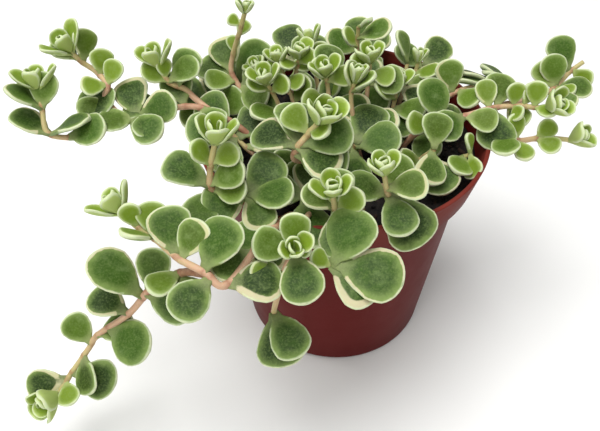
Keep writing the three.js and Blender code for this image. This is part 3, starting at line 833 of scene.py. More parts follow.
class StageSettings(bpy.types.PropertyGroup):
    """The floor, the lights and the camera."""

    floor_size: length_setting("Floor size", "Side of the floor", 6.0)
    surround: FloatProperty(
        name="Surround", description="Strength of the white surround", default=0.42, min=0
    )
    overhead: FloatProperty(
        name="Overhead lamp", description="Power of the lamp above", default=17, min=0,
        subtype="POWER", unit="POWER",
    )
    front: FloatProperty(
        name="Front lamp", description="Power of the lamp in front", default=4, min=0,
        subtype="POWER", unit="POWER",
    )
    floor_colour: colour_setting("Floor", "A plain pale floor", "f4f4f2")
    lens: FloatProperty(
        name="Lens", description="Focal length", default=43.65, min=1,
        subtype="DISTANCE_CAMERA", unit="CAMERA",
    )
    camera_place: FloatVectorProperty(
        name="Camera place", description="Where the camera stands", size=3,
        default=(-0.0208, -0.1944, 0.2406), subtype="TRANSLATION", unit="LENGTH",
    )
    camera_turn: FloatVectorProperty(
        name="Camera turn", description="How the camera is turned", size=3,
        default=(math.radians(44.9), 0, math.radians(-1.9)), subtype="EULER", unit="ROTATION",
    )


SETTINGS = {
    "sedum_pot": PotSettings,
    "sedum_soil": SoilSettings,
    "sedum_plant": PlantSettings,
    "sedum_stage": StageSettings,
}

# ---- Materials: arithmetic on sockets -------------------------------------------------------


class Wire:
    """An output socket that Python arithmetic turns into Math nodes."""

    def __init__(self, finish, socket):
        self.finish = finish
        self.socket = socket

    def maths(self, operation, first, second):
        return self.finish.node("ShaderNodeMath", {"operation": operation}, {0: first, 1: second})

    def __add__(self, other):
        return self.maths("ADD", self, other)

    def __radd__(self, other):
        return self.maths("ADD", other, self)

    def __sub__(self, other):
        return self.maths("SUBTRACT", self, other)

    def __rsub__(self, other):
        return self.maths("SUBTRACT", other, self)

    def __mul__(self, other):
        return self.maths("MULTIPLY", self, other)

    def __rmul__(self, other):
        return self.maths("MULTIPLY", other, self)


class Finish:
    """A material under construction, round its Principled shader."""

    def __init__(self, name):
        self.material = bpy.data.materials.new(name)
        self.material.use_nodes = True
        self.tree = self.material.node_tree
        self.shader = self.tree.nodes["Principled BSDF"]

    def plug(self, node, sockets):
        """Sets a node's inputs by name or number, each to a value or to a link."""
        for key, value in sockets.items():
            socket = node.inputs[key]
            if isinstance(value, Wire):
                self.tree.links.new(value.socket, socket)
            elif socket.type == "RGBA" and len(value) == 3:
                socket.default_value = (*value, 1)
            else:
                socket.default_value = value

    def node(self, kind, settings=None, sockets=None, output=0):
        """Any node: its type, its settings, its inputs and the output that is wanted."""
        made = self.tree.nodes.new(kind)
        for key, value in (settings or {}).items():
            setattr(made, key, value)
        self.plug(made, sockets or {})
        return Wire(self, made.outputs[output])

    def surface(self, **sockets):
        """The finished material, with these inputs of its shader."""
        self.plug(self.shader, {key.replace("_", " "): value for key, value in sockets.items()})
        return self.material

    def mark(self, name):
        """A value that the mesh carries at its points."""
        settings = {"attribute_type": "GEOMETRY", "attribute_name": name}
        return self.node("ShaderNodeAttribute", settings, output=2)

    def blend(self, factor, first, second):
        """A colour between two, from the first at 0 to the second at 1."""
        return self.node(
            "ShaderNodeMix", {"data_type": "RGBA"}, {0: factor, 6: first, 7: second}, output=2
        )

    def grain(self, size, detail=3.0, roughness=0.55, stretch=None):
        """Noise from 0 to 1 whose lumps are about `size` across."""
        place = self.node("ShaderNodeTexCoord", output=3)
        if stretch:
            place = self.node("ShaderNodeVectorMath", {"operation": "MULTIPLY"},
                              {0: place, 1: stretch})
        return self.node("ShaderNodeTexNoise", {"noise_dimensions": "3D"}, {
            "Vector": place, "Scale": 1 / size, "Detail": detail, "Roughness": roughness,
        })

    def cells(self, size):
        """Distance to the nearest of scattered points about `size` apart, as a share of it."""
        place = self.node("ShaderNodeTexCoord", output=3)
        return self.node("ShaderNodeTexVoronoi", {"feature": "F1"},
                         {"Vector": place, "Scale": 1 / size})

    def rise(self, value, low, high):
        """0 below `low`, 1 above `high`, and smooth between them."""
        return self.node("ShaderNodeMapRange", {"interpolation_type": "SMOOTHSTEP"}, {
            "Value": value, "From Min": low, "From Max": high,
        })

    def bump(self, height, distance, strength):
        """A surface normal tilted by a height."""
        return self.node("ShaderNodeBump", None, {
            "Height": height, "Distance": distance, "Strength": strength,
        })


def pot_finish(pot):
    """Thin moulded plastic: satin, a little scuffed at its edges, with painted light making the
    whole collar lighter, and a few dark specks.
    """
    finish = Finish("pot_plastic")
    wear_and_lit_collar = finish.mark("wear_and_lit_collar")
    mottle = finish.grain(0.012, 4)
    fine = finish.grain(0.0012, 2)
    streaks = finish.grain(0.004, 3, stretch=(1, 1, 0.12))
    specks = 1 - finish.rise(finish.cells(0.016), 0.035, 0.05)
    # Lighter where the rim, the collar's step and the foot are scuffed, plus painted light that
    # lightens the whole collar.
    rubbed_and_lit = finish.rise(wear_and_lit_collar + (mottle - 0.5) * 0.8, 0.35, 1.0)
    colour = finish.blend(rubbed_and_lit * 0.8, pot.plastic, pot.rubbed_and_lit_plastic)
    colour = finish.blend(
        finish.rise(mottle, 0.3, 0.75) * 0.35, colour, tuple(c * 0.72 for c in pot.plastic)
    )
    colour = finish.blend(finish.rise(streaks, 0.55, 0.8) * 0.05, colour, pot.streak)
    colour = finish.blend(specks * 0.9, colour, pot.speck)
    relief = fine * 0.5 + streaks * 0.5 - specks * 0.8
    return finish.surface(
        Base_Color=colour,
        Roughness=0.5 + (mottle - 0.5) * 0.2 + rubbed_and_lit * 0.08,
        Normal=finish.bump(relief, 0.00012, 0.5),
        Specular_IOR_Level=0.08,
    )


def soil_finish(soil):
    """Damp peat: almost black, with drier tops and bits of bark."""
    finish = Finish("potting_soil")
    lumps = finish.grain(0.0022, 5, 0.65)
    grit = finish.grain(0.0006, 3, 0.6)
    bark = finish.rise(finish.grain(0.005, 2), 0.62, 0.7)
    colour = finish.blend(finish.rise(lumps, 0.4, 0.75), soil.damp, soil.dry)
    colour = finish.blend(bark * finish.rise(grit, 0.35, 0.6) * 0.7, colour, soil.bark)
    return finish.surface(
        Base_Color=colour,
        Roughness=0.95 - finish.rise(lumps, 0.3, 0.5) * 0.1,
        Normal=finish.bump(lumps * 0.6 + grit * 0.4, 0.0009, 1.0),
    )


def crumb_finish(soil):
    """Loose crumbs and bark chips, each a little different."""
    finish = Finish("soil_crumbs")
    chance = finish.mark("chance")
    grit = finish.grain(0.0005, 3, 0.6)
    colour = finish.blend(finish.rise(chance, 0.2, 0.8), soil.damp, soil.dry)
    colour = finish.blend(finish.rise(chance, 0.9, 0.95), colour, soil.bark)
    colour = finish.blend(finish.rise(grit, 0.55, 0.8) * 0.3, colour, soil.bark)
    return finish.surface(
        Base_Color=colour,
        Roughness=0.9,
        Normal=finish.bump(grit, 0.0003, 0.8),
    )


def stem_finish(plant):
    """Fleshy stem: green-beige at the tips, tan-pink along it, red-brown at its rings."""
    finish = Finish("sedum_stem")
    age = finish.mark("age")
    ring = finish.mark("ring")
    blotch = finish.grain(0.0025, 3)
    fibre = finish.grain(0.0005, 2)
    colour = finish.blend(
        finish.rise(age + (blotch - 0.5) * 0.4, 0.1, 0.45), plant.young_stem, plant.stem
    )
    woody = finish.rise(age + (blotch - 0.5) * 0.6, 0.55, 1.0)
    colour = finish.blend(woody * 0.85, colour, plant.old_stem)
    rings = ring * finish.rise(blotch, 0.25, 0.6)
    colour = finish.blend(rings * 0.65, colour, plant.old_stem)
    colour = finish.blend(finish.rise(fibre, 0.55, 0.8) * 0.25, colour, plant.fibre)
    return finish.surface(
        Base_Color=colour,
        Roughness=0.6 + (blotch - 0.5) * 0.2,
        Normal=finish.bump(blotch * 0.5 + fibre * 0.5, 0.00018, 0.7),
        Subsurface_Weight=0.08,
        Subsurface_Scale=0.001,
    )


def leaf_finish(plant):
    """Fleshy, finely hairy leaf: green in the middle, paler outwards, with a pale edge and patches
    of painted sheen on its top.
    """
    finish = Finish("sedum_leaf")
    inset = finish.mark("inset")
    rim = finish.mark("rim")
    margin = finish.mark("margin")
    youth = finish.mark("youth")
    chance = finish.mark("chance")
    top = finish.mark("top")
    along = finish.mark("along")
    cloud = finish.grain(0.006, 3, 0.6)
    mottle = finish.grain(0.0022, 4, 0.6)
    flecks = finish.grain(0.0006, 2, 0.6)
    down = finish.grain(0.00022, 2, 0.7)
    deep = inset + (mottle - 0.5) * 0.3 + (cloud - 0.5) * 0.5

    grown = finish.blend(
        finish.rise(chance + (mottle - 0.5) * 0.9, 0.1, 1.0), plant.old_green, plant.mid_green
    )
    middle = finish.blend(finish.rise(youth, 0.05, 0.75), grown, plant.lime)
    outer = finish.blend(finish.rise(youth, 0.1, 0.8), plant.soft_green, plant.pale_lime)
    colour = finish.blend(finish.rise(deep, -0.05, 0.46), outer, middle)
    colour = finish.blend(finish.rise(flecks, 0.4, 0.75) * 0.3, colour, plant.soft_green)
    foot = (1 - finish.rise(along, 0.05, 0.38)) * (0.35 + 0.45 * youth)
    colour = finish.blend(foot, colour, plant.foot)
    back = finish.blend(finish.rise(youth, 0.3, 0.9), plant.under, plant.pale_lime)
    colour = finish.blend((1 - top) * 0.75, colour, back)
    variegated = 1 - finish.rise(inset + (mottle - 0.5) * 0.1, margin * 0.85, margin * 1.1)
    pale = finish.blend(youth, plant.cream, plant.pale_lime)
    colour = finish.blend(variegated * 0.9, colour, pale)
    line = 1 - finish.rise(inset + (mottle - 0.5) * 0.06, rim * 0.3, rim * 1.6)
    colour = finish.blend(line * 0.8, colour, plant.edge_line)
    # Painted sheen: broad paler patches on the leaves' tops, where light would catch the hairs and
    # the curve of the blade.
    painted_sheen = finish.rise(cloud, 0.48, 0.72) * finish.rise(mottle, 0.35, 0.7) * top
    colour = finish.blend(painted_sheen * 0.3, colour, plant.painted_sheen)
    return finish.surface(
        Base_Color=colour,
        Roughness=0.52 + (mottle - 0.5) * 0.25 + down * 0.1,
        Normal=finish.bump(down * 0.45 + flecks * 0.25 + mottle * 0.3, 0.00016, 0.6),
        Specular_IOR_Level=0.2,
        Sheen_Weight=0.04,
        Sheen_Roughness=0.35,
        Sheen_Tint=(0.93, 1.0, 0.85),
        Subsurface_Weight=0.12,
        Subsurface_Radius=(0.6, 1.0, 0.25),
        Subsurface_Scale=0.0012,
    )


def floor_finish(stage):
    """A plain pale floor."""
    finish = Finish("pale_floor")
    return finish.surface(Base_Color=stage.floor_colour, Roughness=0.9)


# ---- Making pieces --------------------------------------------------------------------------


def add_piece(name, points, faces, material, node, marks=None):
    """A smooth-shaded mesh piece on the root body, standing for one CAD node."""
    mesh = bpy.data.meshes.new(name)
    mesh.from_pydata(points, [], faces)
    for key, values in (marks or {}).items():
        layer = mesh.attributes.new(key, "FLOAT", "POINT")
        layer.data.foreach_set("value", values)
    mesh.materials.append(material)
    mesh.polygons.foreach_set("use_smooth", [True] * len(mesh.polygons))
    mesh.update()
    piece = bpy.data.objects.new(name, mesh)
    bpy.context.scene.collection.objects.link(piece)
    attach(piece, "root")
    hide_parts(node)
    return piece


def ring_faces(rings, sides, first=0):
    """Quads between successive closed rings of points."""
    faces = []
    for i in range(rings - 1):
        for j in range(sides):
            k = (j + 1) % sides
            low = first + i * sides
            faces.append((low + j, low + k, low + sides + k, low + sides + j))
    return faces


def fillet(before, corner, after, radius, steps=5):
    """A round corner between two straight stretches of a profile, as [radius, height] points."""
    corner = Vector(corner)
    start = corner + (Vector(before) - corner).normalized() * radius
    end = corner + (Vector(after) - corner).normalized() * radius
    return [
        start.lerp(corner, t).lerp(corner.lerp(end, t), t)
        for t in (i / steps for i in range(steps + 1))
    ]


def rounded(profile, radii):
    """The profile with each inner corner rounded, and its two ends kept."""
    outline = [Vector(profile[0])]
    for i, radius in enumerate(radii, start=1):
        outline += fillet(profile[i - 1], profile[i], profile[i + 1], radius)
    outline.append(Vector(profile[-1]))
    return outline


def collar_sizes(pot):
    """The height of the collar's lower edge, and the collar's and the body's radii there."""
    collar = RIM_RADIUS - pot.flare
    return POT_HEIGHT - pot.collar, collar, collar - pot.step


def pot_profile(pot):
    """The pot's section from the middle of its underside, out, up, over the rim and back in."""
    collar_bottom, collar, body = collar_sizes(pot)
    wall = pot.wall
    base = pot.base_radius
    corners = [
        (0, 0), (base, 0), (body, collar_bottom), (collar, collar_bottom),
        (RIM_RADIUS, POT_HEIGHT), (RIM_RADIUS - wall, POT_HEIGHT),
        (collar - wall, collar_bottom + wall), (body - wall, collar_bottom - wall),
        (base - wall, pot.floor), (0, pot.floor),
    ]
    radii = [pot.foot_round, 0.4 * MM, 0.8 * MM, 0.6 * MM, 0.5 * MM, 0.8 * MM, 0.8 * MM, 1.5 * MM]
    return rounded(corners, radii)


def turned(outline, sides):
    """Points and faces of a closed body turned about the Z axis."""
    points = [(0, 0, outline[0].y)]
    for spot in outline[1:-1]:
        for j in range(sides):
            angle = 2 * math.pi * j / sides
            points.append((spot.x * math.cos(angle), spot.x * math.sin(angle), spot.y))
    points.append((0, 0, outline[-1].y))
    rings = len(outline) - 2
    faces = ring_faces(rings, sides, 1)
    last = len(points) - 1
    for j in range(sides):
        k = (j + 1) % sides
        faces.append((0, 1 + k, 1 + j))
        faces.append((last, last - sides + j, last - sides + k))
    return points, faces


def drill(piece, places, radius, depth):
    """Cuts round upright holes through a piece."""
    tool_mesh = bpy.data.meshes.new("drill")
    drills = bmesh.new()
    for place in places:
        bmesh.ops.create_cone(
            drills, cap_ends=True, segments=40, radius1=radius, radius2=radius, depth=depth,
            matrix=Matrix.Translation(place),
        )
    drills.to_mesh(tool_mesh)
    drills.free()
    tool = bpy.data.objects.new("drill", tool_mesh)
    bpy.context.scene.collection.objects.link(tool)
    cut = piece.modifiers.new("holes", "BOOLEAN")
    cut.object = tool
    cut.operation = "DIFFERENCE"
    with_holes = bpy.data.meshes.new_from_object(
        piece.evaluated_get(bpy.context.evaluated_depsgraph_get())
    )
    piece.modifiers.clear()
    bpy.data.objects.remove(tool)
    old = piece.data
    piece.data = with_holes
    bpy.data.meshes.remove(old)
    with_holes.name = piece.name


# ---- Routes and leaves ----------------------------------------------------------------------


def scatter(*keys):
    """A repeatable value from 0 to 1 for each set of keys."""
    wild = math.sin(78.233 + sum((i + 1) * 12.9898 * k for i, k in enumerate(keys))) * 43758.5453
    return wild - math.floor(wild)


class Route:
    """A smooth curve through a branch's points; places count the points."""

    def __init__(self, points):
        spots = [Vector((x * SPREAD, y * SPREAD, z * RISE)) for x, y, z in points]
        self.spans = len(spots) - 1
        self.spots = [2 * spots[0] - spots[1], *spots, 2 * spots[-1] - spots[-2]]

    def at(self, place):
        span = min(int(place), self.spans - 1)
        t = place - span
        a, b, c, d = self.spots[span:span + 4]
        return 0.5 * (
            2 * b + (c - a) * t + (2 * a - 5 * b + 4 * c - d) * t ** 2
            + (3 * b - a - 3 * c + d) * t ** 3
        )

    def change(self, place):
        """The step between two spots, one tenth of a span apart, round a place."""
        return self.at(min(place + 0.05, self.spans)) - self.at(max(place - 0.05, 0))

    def heading(self, place):
        return self.change(place).normalized()

    def speed(self, place):
        """Length for each span, at a place."""
        return max(self.change(place).length, 1e-6) / 0.1


def blade_share(place):
    """Half the blade's width at a place along it, as a share of its greatest half width."""
    along = max(0, (place - NECK_PLACE) / (1 - NECK_PLACE))
    width = along ** SHOULDER * math.sqrt(max(0, 1 - along ** ROUNDNESS)) / FULL_WIDTH
    return max(min(width, 1), NECK_WIDTH if place < NECK_END else 0)


class Blade:
    """A leaf's closed surface at unit length, with each point's distance in from the outline."""

    def __init__(self, ratio, rows, sides, fullness):
        self.spots = []
        outline = [
            Vector((place, side * ratio / 2 * blade_share(place)))
            for side in (-1, 1)
            for place in (1 - (i / OUTLINE_STEPS) ** 2 for i in range(OUTLINE_STEPS + 1))
        ]
        for i in range(rows):
            place = math.sin(i / (rows - 1) * math.pi / 2) ** 0.9 * 0.9995
            share = blade_share(place)
            half = ratio / 2 * share
            thick = NECK_THICKNESS if place < 0.25 else share ** 0.45
            for j in range(sides):
                angle = 2 * math.pi * j / sides
                sideways, upwards = math.cos(angle), math.sin(angle)
                across = math.copysign(abs(sideways) ** (2 / fullness), sideways)
                height = math.copysign(abs(upwards) ** (2 / fullness), upwards) * thick
                flat = Vector((place, across * half))
                inset = min((flat - spot).length for spot in outline) * 2 / ratio
                inset = NECK_INSET if place < NECK_WIDTH else inset
                self.spots.append((place, across, across * half / ratio, height, inset,
                                   upwards > -0.05))
        self.faces = ring_faces(rows, sides)
        self.faces.append(tuple(reversed(range(sides))))
        self.faces.append(tuple(range((rows - 1) * sides, rows * sides)))


GROWN_BLADE = Blade(LEAF_WIDTH, 15, 22, 2.3)
BUD_BLADE = Blade(BUD_WIDTH, 12, 18, 2.3)
SLIM_BLADE = Blade(SLIM_WIDTH, 12, 16, 2.2)


class Foliage:
    """The points, faces and marks of many leaves, gathered for one piece."""

    def __init__(self):
        self.points = []
        self.faces = []
        names = ("inset", "rim", "margin", "youth", "chance", "top", "along")
        self.marks = {name: [] for name in names}

    def add(self, blade, leaf):
        """Adds one leaf: the blade bowed, cupped, rippled and set in its place."""
        first = len(self.points)
        side = leaf["face"].cross(leaf["along"])
        length, width = leaf["length"], leaf["width"]
        youth, chance = leaf["youth"], leaf["chance"]
        ruffle = 0.012 + 0.02 * scatter(chance, 3)
        phase = 2 * math.pi * scatter(chance, 4)
        lean = 0.08 * (scatter(chance, 5) - 0.5)
        for place, across, aside, height, inset, on_top in blade.spots:
            bend = leaf["bow"] * max(place - 0.25, 0) ** 2
            dish = 0.5 * leaf["cup"] * across * across * blade_share(place)
            ripple = ruffle * across * across * math.sin(7 * place + phase + across * 2)
            midrib = 0.035 * math.exp(-(across / 0.16) ** 2) * min(1, 3 * place)
            groove = midrib if height > 0 else 0
            scallop = 0.04 * math.sin(5 * place + phase) + 0.014 * math.sin(26 * place + 3 * phase)
            sideways = aside * width * (1 + scallop) + lean * length * place * (1 - place)
            lift = (height / 2 - groove) * leaf["thickness"] + (bend + dish + ripple) * length
            self.points.append(
                leaf["foot"] + leaf["along"] * (place * length) + side * sideways
                + leaf["face"] * lift
            )
            turn = math.atan2(across * 0.5, place - 0.55)
            flush = 0.5 + 0.5 * math.cos(turn - leaf["cream_turn"])
            self.marks["inset"].append(inset)
            self.marks["rim"].append(EDGE_LINE_WIDTH / width)
            self.marks["margin"].append(leaf["margin"] + leaf["cream"] * flush)
            self.marks["youth"].append(youth)
            self.marks["chance"].append(chance)
            self.marks["top"].append(float(on_top))
            self.marks["along"].append(place)
        self.faces += [tuple(first + i for i in face) for face in blade.faces]


def coloured(leaf, youth, chance, keys):
    """The leaf with the values that its colour and curl come from."""
    creamy = scatter(*keys, 7)
    leaf["youth"] = youth
    leaf["chance"] = chance
    leaf["margin"] = 0.02 + 0.04 * scatter(*keys, 8)
    leaf["cream"] = 0.8 * max(0, creamy - 0.55) * (1 - youth)
    leaf["cream_turn"] = 2 * math.pi * scatter(*keys, 9)
    return leaf


def stem_leaves(branch, route, keys, plant):
    """The leaves along a branch, each turned to its listed heading with its face to the light."""
    leaves = []
    for i, (place, heading, length, *twist) in enumerate(branch["leaves"]):
        chance = scatter(*keys, i)
        youth = min(max((GROWN_LENGTH - length) / YOUTH_SPAN, 0), YOUNGEST)
        lift = math.radians(LEAF_LIFT + YOUNG_LIFT * youth + LIFT_SPREAD * (chance - 0.5))
        turn = math.radians(heading)
        out = ACROSS * math.cos(turn) + AWAY * math.sin(turn)
        along = out * math.cos(lift) + LIGHT * math.sin(lift)
        face = LIGHT * math.cos(lift) - out * math.sin(lift)
        sway = twist[0] if twist else SWAY_SPREAD * (scatter(*keys, i, 1) - 0.5)
        face = Matrix.Rotation(math.radians(sway), 3, along) @ face
        breadth = 1 + WIDTH_SPREAD * (scatter(*keys, i, 2) - 0.5)
        leaf = {
            "foot": route.at(place),
            "along": along,
            "face": face,
            "length": length,
            "width": min(LEAF_WIDTH * length, plant.widest) * breadth,
            "thickness": plant.thickness * (0.75 + 0.25 * min(1, length / GROWN_LENGTH)),
            "cup": 0.10 + 0.12 * youth,
            "bow": -0.10 + 0.30 * youth + 0.10 * (scatter(*keys, i, 4) - 0.5),
        }
        leaves.append((GROWN_BLADE, coloured(leaf, 0.8 * youth, chance, (*keys, i))))
    return leaves


def tip_leaves(branch, route, keys, plant):
    """The rosette at a branch's end: crossed pairs, smaller and steeper towards its heart."""
    if "tip" not in branch:
        return []
    outer_length, turn, pairs = branch["tip"]
    slim = branch.get("slim", False)
    end = route.at(route.spans)
    axis = route.heading(route.spans) * (1 if slim else 0.7) + UPWARD * (0.3 if slim else 0.6)
    axis.normalize()
    right = axis.cross(Vector((0, 1, 0.3))).normalized()
    up = axis.cross(right)
    leaves = []
    for i in range(2 * pairs):
        pair = i // 2
        heart = pair / pairs
        chance = scatter(*keys, i, 5)
        uneven = TIP_UNEVENNESS * (chance - 0.5)
        round_turn = math.radians(turn + 90 * pair + 180 * (i % 2) + uneven)
        widest = SLIM_OPENING if slim else TIP_OPENING
        opening = math.radians(widest - TIP_CLOSING * heart + uneven / 2)
        out = right * math.cos(round_turn) + up * math.sin(round_turn)
        size = OUTER_LENGTH - INNER_SHORTENING * heart
        length = outer_length * size * (1 + LENGTH_SPREAD * (chance - 0.5))
        leaf = {
            "foot": end + axis * (HEART_RISE * heart - ROSETTE_SINK),
            "along": axis * math.cos(opening) + out * math.sin(opening),
            "face": axis * math.sin(opening) - out * math.cos(opening),
            "length": length,
            "width": (SLIM_WIDTH if slim else BUD_WIDTH) * length,
            "thickness": plant.bud_thickness * (1 - 0.3 * heart),
            "cup": 0.26,
            "bow": 0.16 + 0.25 * heart,
        }
        youth = 0.72 + 0.28 * heart
        blade = SLIM_BLADE if slim else BUD_BLADE
        leaves.append((blade, coloured(leaf, youth, chance, (*keys, i, 6))))
    return leaves


def stem_points(branch, route, thickness, woody):
    """A round stem along its route: it thins to its tip and swells where leaves sit."""
    sides = 14
    spacing = 0.8 * MM
    places = [0.0]
    while places[-1] < route.spans:
        places.append(min(places[-1] + spacing / route.speed(places[-1]), route.spans))
    points = []
    age_marks = []
    ring_marks = []
    guide = Vector((0, -1, 0.2))
    for place in places:
        centre = route.at(place)
        ahead = route.heading(place)
        right = ahead.cross(guide).normalized()
        up = ahead.cross(right)
        done = place / route.spans
        swell = sum(
            math.exp(-((centre - route.at(leaf[0])).length / (0.8 * MM)) ** 2)
            for leaf in branch["leaves"]
        )
        swell = min(swell, 1)
        radius = thickness * (1.0 - 0.28 * done) * (1 + 0.16 * swell)
        for j in range(sides):
            angle = 2 * math.pi * j / sides
            lump = 1 + 0.05 * noise.noise((centre * 500) + Vector((j, 0, 0)) * 0.7)
            points.append(
                centre + (right * math.cos(angle) + up * math.sin(angle)) * radius * lump
            )
            age_marks.append(max(0.0, min(1.0, woody * (1 - done) + 0.15 * (1 - done))))
            ring_marks.append(swell)
    faces = ring_faces(len(places), sides)
    faces.append(tuple(range(sides)))
    faces.append(tuple(reversed(range((len(places) - 1) * sides, len(places) * sides))))
    faces = [tuple(reversed(face)) for face in faces]
    return points, faces, {"age": age_marks, "ring": ring_marks}


# ---- The pieces -----------------------------------------------------------------------------


class SEDUM_OT_pot(bpy.types.Operator):
    """Turn the pot, drill its drain holes and give it its plastic"""

    bl_idname = "sedum.pot"
    bl_label = "Pot"

    def execute(self, context):
        pot = context.scene.sedum_pot
        points, faces = turned(pot_profile(pot), 144)
        piece = add_piece("pot_shell", points, faces, pot_finish(pot), "pot")
        turns = [2 * math.pi * i / pot.drain_holes for i in range(pot.drain_holes)]
        places = [
            Vector((math.cos(a), math.sin(a), 0)) * pot.drain_circle for a in turns
        ]
        drill(piece, places, pot.drain_radius, 4 * pot.floor)
        mesh = piece.data
        collar = collar_sizes(pot)[0]
        wear_and_lit_collar = []
        for point in mesh.vertices:
            height = point.co.z
            rim = max(0, 1 - (POT_HEIGHT - height) / (2.5 * MM))
            step = max(0, 1 - abs(height - collar) / (1.2 * MM))
            foot = max(0, 1 - height / (4 * MM))
            # Wear at the rim, the collar's step and the foot, plus painted light: the 0.35 over
            # the whole collar lightens it as if lit.
            wear_and_lit_collar.append(min(1, 0.9 * rim + 0.5 * step + 0.5 * foot + 0.35 * (height > collar)))
        mesh.attributes.new("wear_and_lit_collar", "FLOAT", "POINT").data.foreach_set("value", wear_and_lit_collar)
        return {"FINISHED"}


class SEDUM_OT_soil(bpy.types.Operator):
    """Fill the pot with lumpy soil and scatter loose crumbs on it"""

    bl_idname = "sedum.soil"
    bl_label = "Soil"

    def execute(self, context):
        soil = context.scene.sedum_soil
        pot = context.scene.sedum_pot
        collar_bottom, collar, body = collar_sizes(pot)
        inset = pot.wall + SOIL_SLACK
        low = SOIL_LOW.z
        top_radius = (SOIL_HIGH.x - SOIL_LOW.x) / 2
        rows = 46
        outline = [
            Vector((0, low)),
            Vector((pot.base_radius - inset, low)),
            Vector((body - inset, collar_bottom - pot.wall)),
            Vector((collar - inset, collar_bottom + pot.wall)),
        ]
        outline += [Vector((top_radius * (1 - i / rows), SOIL_TOP)) for i in range(rows + 1)]
        points, faces = turned(outline, 128)
        lumpy = []
        for point in points:
            spot = Vector(point)
            if spot.z > SOIL_TOP - 0.5 * MM:
                spot.z += self.lump(spot, soil.crumb)
            lumpy.append(spot)
        add_piece("soil_bed", lumpy, faces, soil_finish(soil), "soil")
        self.crumbs(soil, top_radius)
        return {"FINISHED"}

    def lump(self, spot, crumb):
        """How far the soil's top stands above or below its level at a spot."""
        broad = noise.fractal(spot / (6 * crumb), 0.9, 2, 3)
        fine = noise.noise(spot / (0.9 * crumb))
        return (broad * 0.9 + fine * 0.45 - 0.9) * MM

    def crumbs(self, soil, top_radius):
        """Loose crumbs: lumps pulled out of round, some long like bits of bark."""
        dice = random.Random(11)
        ball = bmesh.new()
        bmesh.ops.create_icosphere(ball, subdivisions=1, radius=1)
        shape = [point.co.copy() for point in ball.verts]
        sheets = [tuple(v.index for v in face.verts) for face in ball.faces]
        ball.free()
        points, faces, chances = [], [], []
        for i in range(soil.crumbs):
            away = (top_radius - 2 * soil.crumb) * math.sqrt(dice.random())
            angle = 2 * math.pi * dice.random()
            size = soil.crumb * (0.35 + 0.65 * dice.random() ** 2)
            chance = dice.random()
            stretch = 2.6 if chance > 0.92 else 1
            centre = Vector((away * math.cos(angle), away * math.sin(angle), SOIL_TOP))
            centre.z += self.lump(centre, soil.crumb) + 0.25 * size
            turn = Matrix.Rotation(2 * math.pi * dice.random(), 3, "Z")
            first = len(points)
            for corner in shape:
                lump = 1 + 0.45 * noise.noise(corner * 1.3 + Vector((i, 0, 0)))
                spot = Vector((corner.x * stretch, corner.y, corner.z * 0.7)) * size * lump * 0.6
                points.append(centre + turn @ spot)
                chances.append(chance)
            faces += [tuple(first + k for k in sheet) for sheet in sheets]
        marks = {"chance": chances}
        add_piece("soil_crumbs", points, faces, crumb_finish(soil), "soil", marks)


class SEDUM_OT_stems(bpy.types.Operator):
    """Grow every stem along its route"""

    bl_idname = "sedum.stems"
    bl_label = "Stems"

    def execute(self, context):
        material = stem_finish(context.scene.sedum_plant)
        for shoot in SHOOTS:
            for number, branch in enumerate(shoot["branches"], start=1):
                route = Route(branch["route"])
                woody = 0.35 + 0.65 * min(1, 0.05 * len(branch["leaves"]))
                points, faces, marks = stem_points(branch, route, shoot["stem"], woody)
                name = f"{shoot['name']}_stem_{number}"
                add_piece(name, points, faces, material, shoot["name"], marks)
        return {"FINISHED"}


class SEDUM_OT_leaves(bpy.types.Operator):
    """Grow every leaf and rosette"""

    bl_idname = "sedum.leaves"
    bl_label = "Leaves"

    def execute(self, context):
        plant = context.scene.sedum_plant
        material = leaf_finish(plant)
        for i, shoot in enumerate(SHOOTS):
            for j, branch in enumerate(shoot["branches"]):
                route = Route(branch["route"])
                foliage = Foliage()
                for blade, leaf in (
                    stem_leaves(branch, route, (i, j), plant)
                    + tip_leaves(branch, route, (i, j), plant)
                ):
                    foliage.add(blade, leaf)
                name = f"{shoot['name']}_leaves_{j + 1}"
                add_piece(name, foliage.points, foliage.faces, material,
                          shoot["name"], foliage.marks)
        return {"FINISHED"}


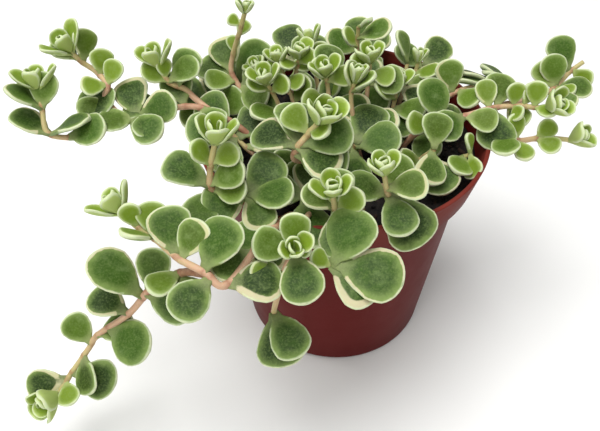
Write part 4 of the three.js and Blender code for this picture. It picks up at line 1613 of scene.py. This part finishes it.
class SEDUM_OT_stage(bpy.types.Operator):
    """Lay the floor, hang the lights and stand the camera"""

    bl_idname = "sedum.stage"
    bl_label = "Stage"

    def execute(self, context):
        scene = context.scene
        stage = scene.sedum_stage
        half = stage.floor_size / 2
        corners = [(-half, -half, 0), (half, -half, 0), (half, half, 0), (-half, half, 0)]
        mesh = bpy.data.meshes.new("floor")
        mesh.from_pydata(corners, [], [(0, 1, 2, 3)])
        mesh.materials.append(floor_finish(stage))
        floor = bpy.data.objects.new("floor", mesh)
        scene.collection.objects.link(floor)
        world = bpy.data.worlds.new("studio")
        world.use_nodes = True
        surround = world.node_tree.nodes["Background"].inputs
        surround["Color"].default_value = (1, 1, 1, 1)
        surround["Strength"].default_value = stage.surround
        scene.world = world
        self.lamp("overhead", (-0.25, -0.1, 1.3), 0.9, stage.overhead)
        self.lamp("front", (-0.5, -1.0, 0.75), 0.6, stage.front)
        camera = bpy.data.cameras.new("camera")
        camera.lens = stage.lens
        camera.clip_start = 0.01
        stand = bpy.data.objects.new("camera", camera)
        stand.location = stage.camera_place
        stand.rotation_euler = stage.camera_turn
        scene.collection.objects.link(stand)
        scene.camera = stand
        scene.view_settings.view_transform = "Standard"
        return {"FINISHED"}

    def lamp(self, name, place, size, power):
        """A square soft light that looks at the plant."""
        light = bpy.data.lights.new(name, "AREA")
        light.energy = power
        light.size = size
        lamp = bpy.data.objects.new(name, light)
        lamp.location = place
        down = Vector((0, 0, POT_HEIGHT)) - lamp.location
        lamp.rotation_euler = down.to_track_quat("-Z", "Y").to_euler()
        bpy.context.scene.collection.objects.link(lamp)


OPERATORS = (
    SEDUM_OT_pot, SEDUM_OT_soil, SEDUM_OT_stems, SEDUM_OT_leaves, SEDUM_OT_stage,
)


class SEDUM_PT_panel(bpy.types.Panel):
    """The pieces of the potted sedum and their settings"""

    bl_idname = "SEDUM_PT_panel"
    bl_label = "Potted sedum"
    bl_space_type = "VIEW_3D"
    bl_region_type = "UI"
    bl_category = "Sedum"

    def draw(self, context):
        for name, group in SETTINGS.items():
            box = self.layout.box()
            for key in group.__annotations__:
                box.prop(getattr(context.scene, name), key)
        for operator in OPERATORS:
            self.layout.operator(operator.bl_idname)


CLASSES = (*SETTINGS.values(), *OPERATORS, SEDUM_PT_panel)


def register():
    for each in CLASSES:
        bpy.utils.register_class(each)
    for name, group in SETTINGS.items():
        setattr(bpy.types.Scene, name, PointerProperty(type=group))


def unregister():
    for name in SETTINGS:
        delattr(bpy.types.Scene, name)
    for each in reversed(CLASSES):
        bpy.utils.unregister_class(each)


def main():
    register()
    bpy.ops.sedum.pot()
    bpy.ops.sedum.soil()
    bpy.ops.sedum.stems()
    bpy.ops.sedum.leaves()
    bpy.ops.sedum.stage()


if __name__ == "__main__":
    main()
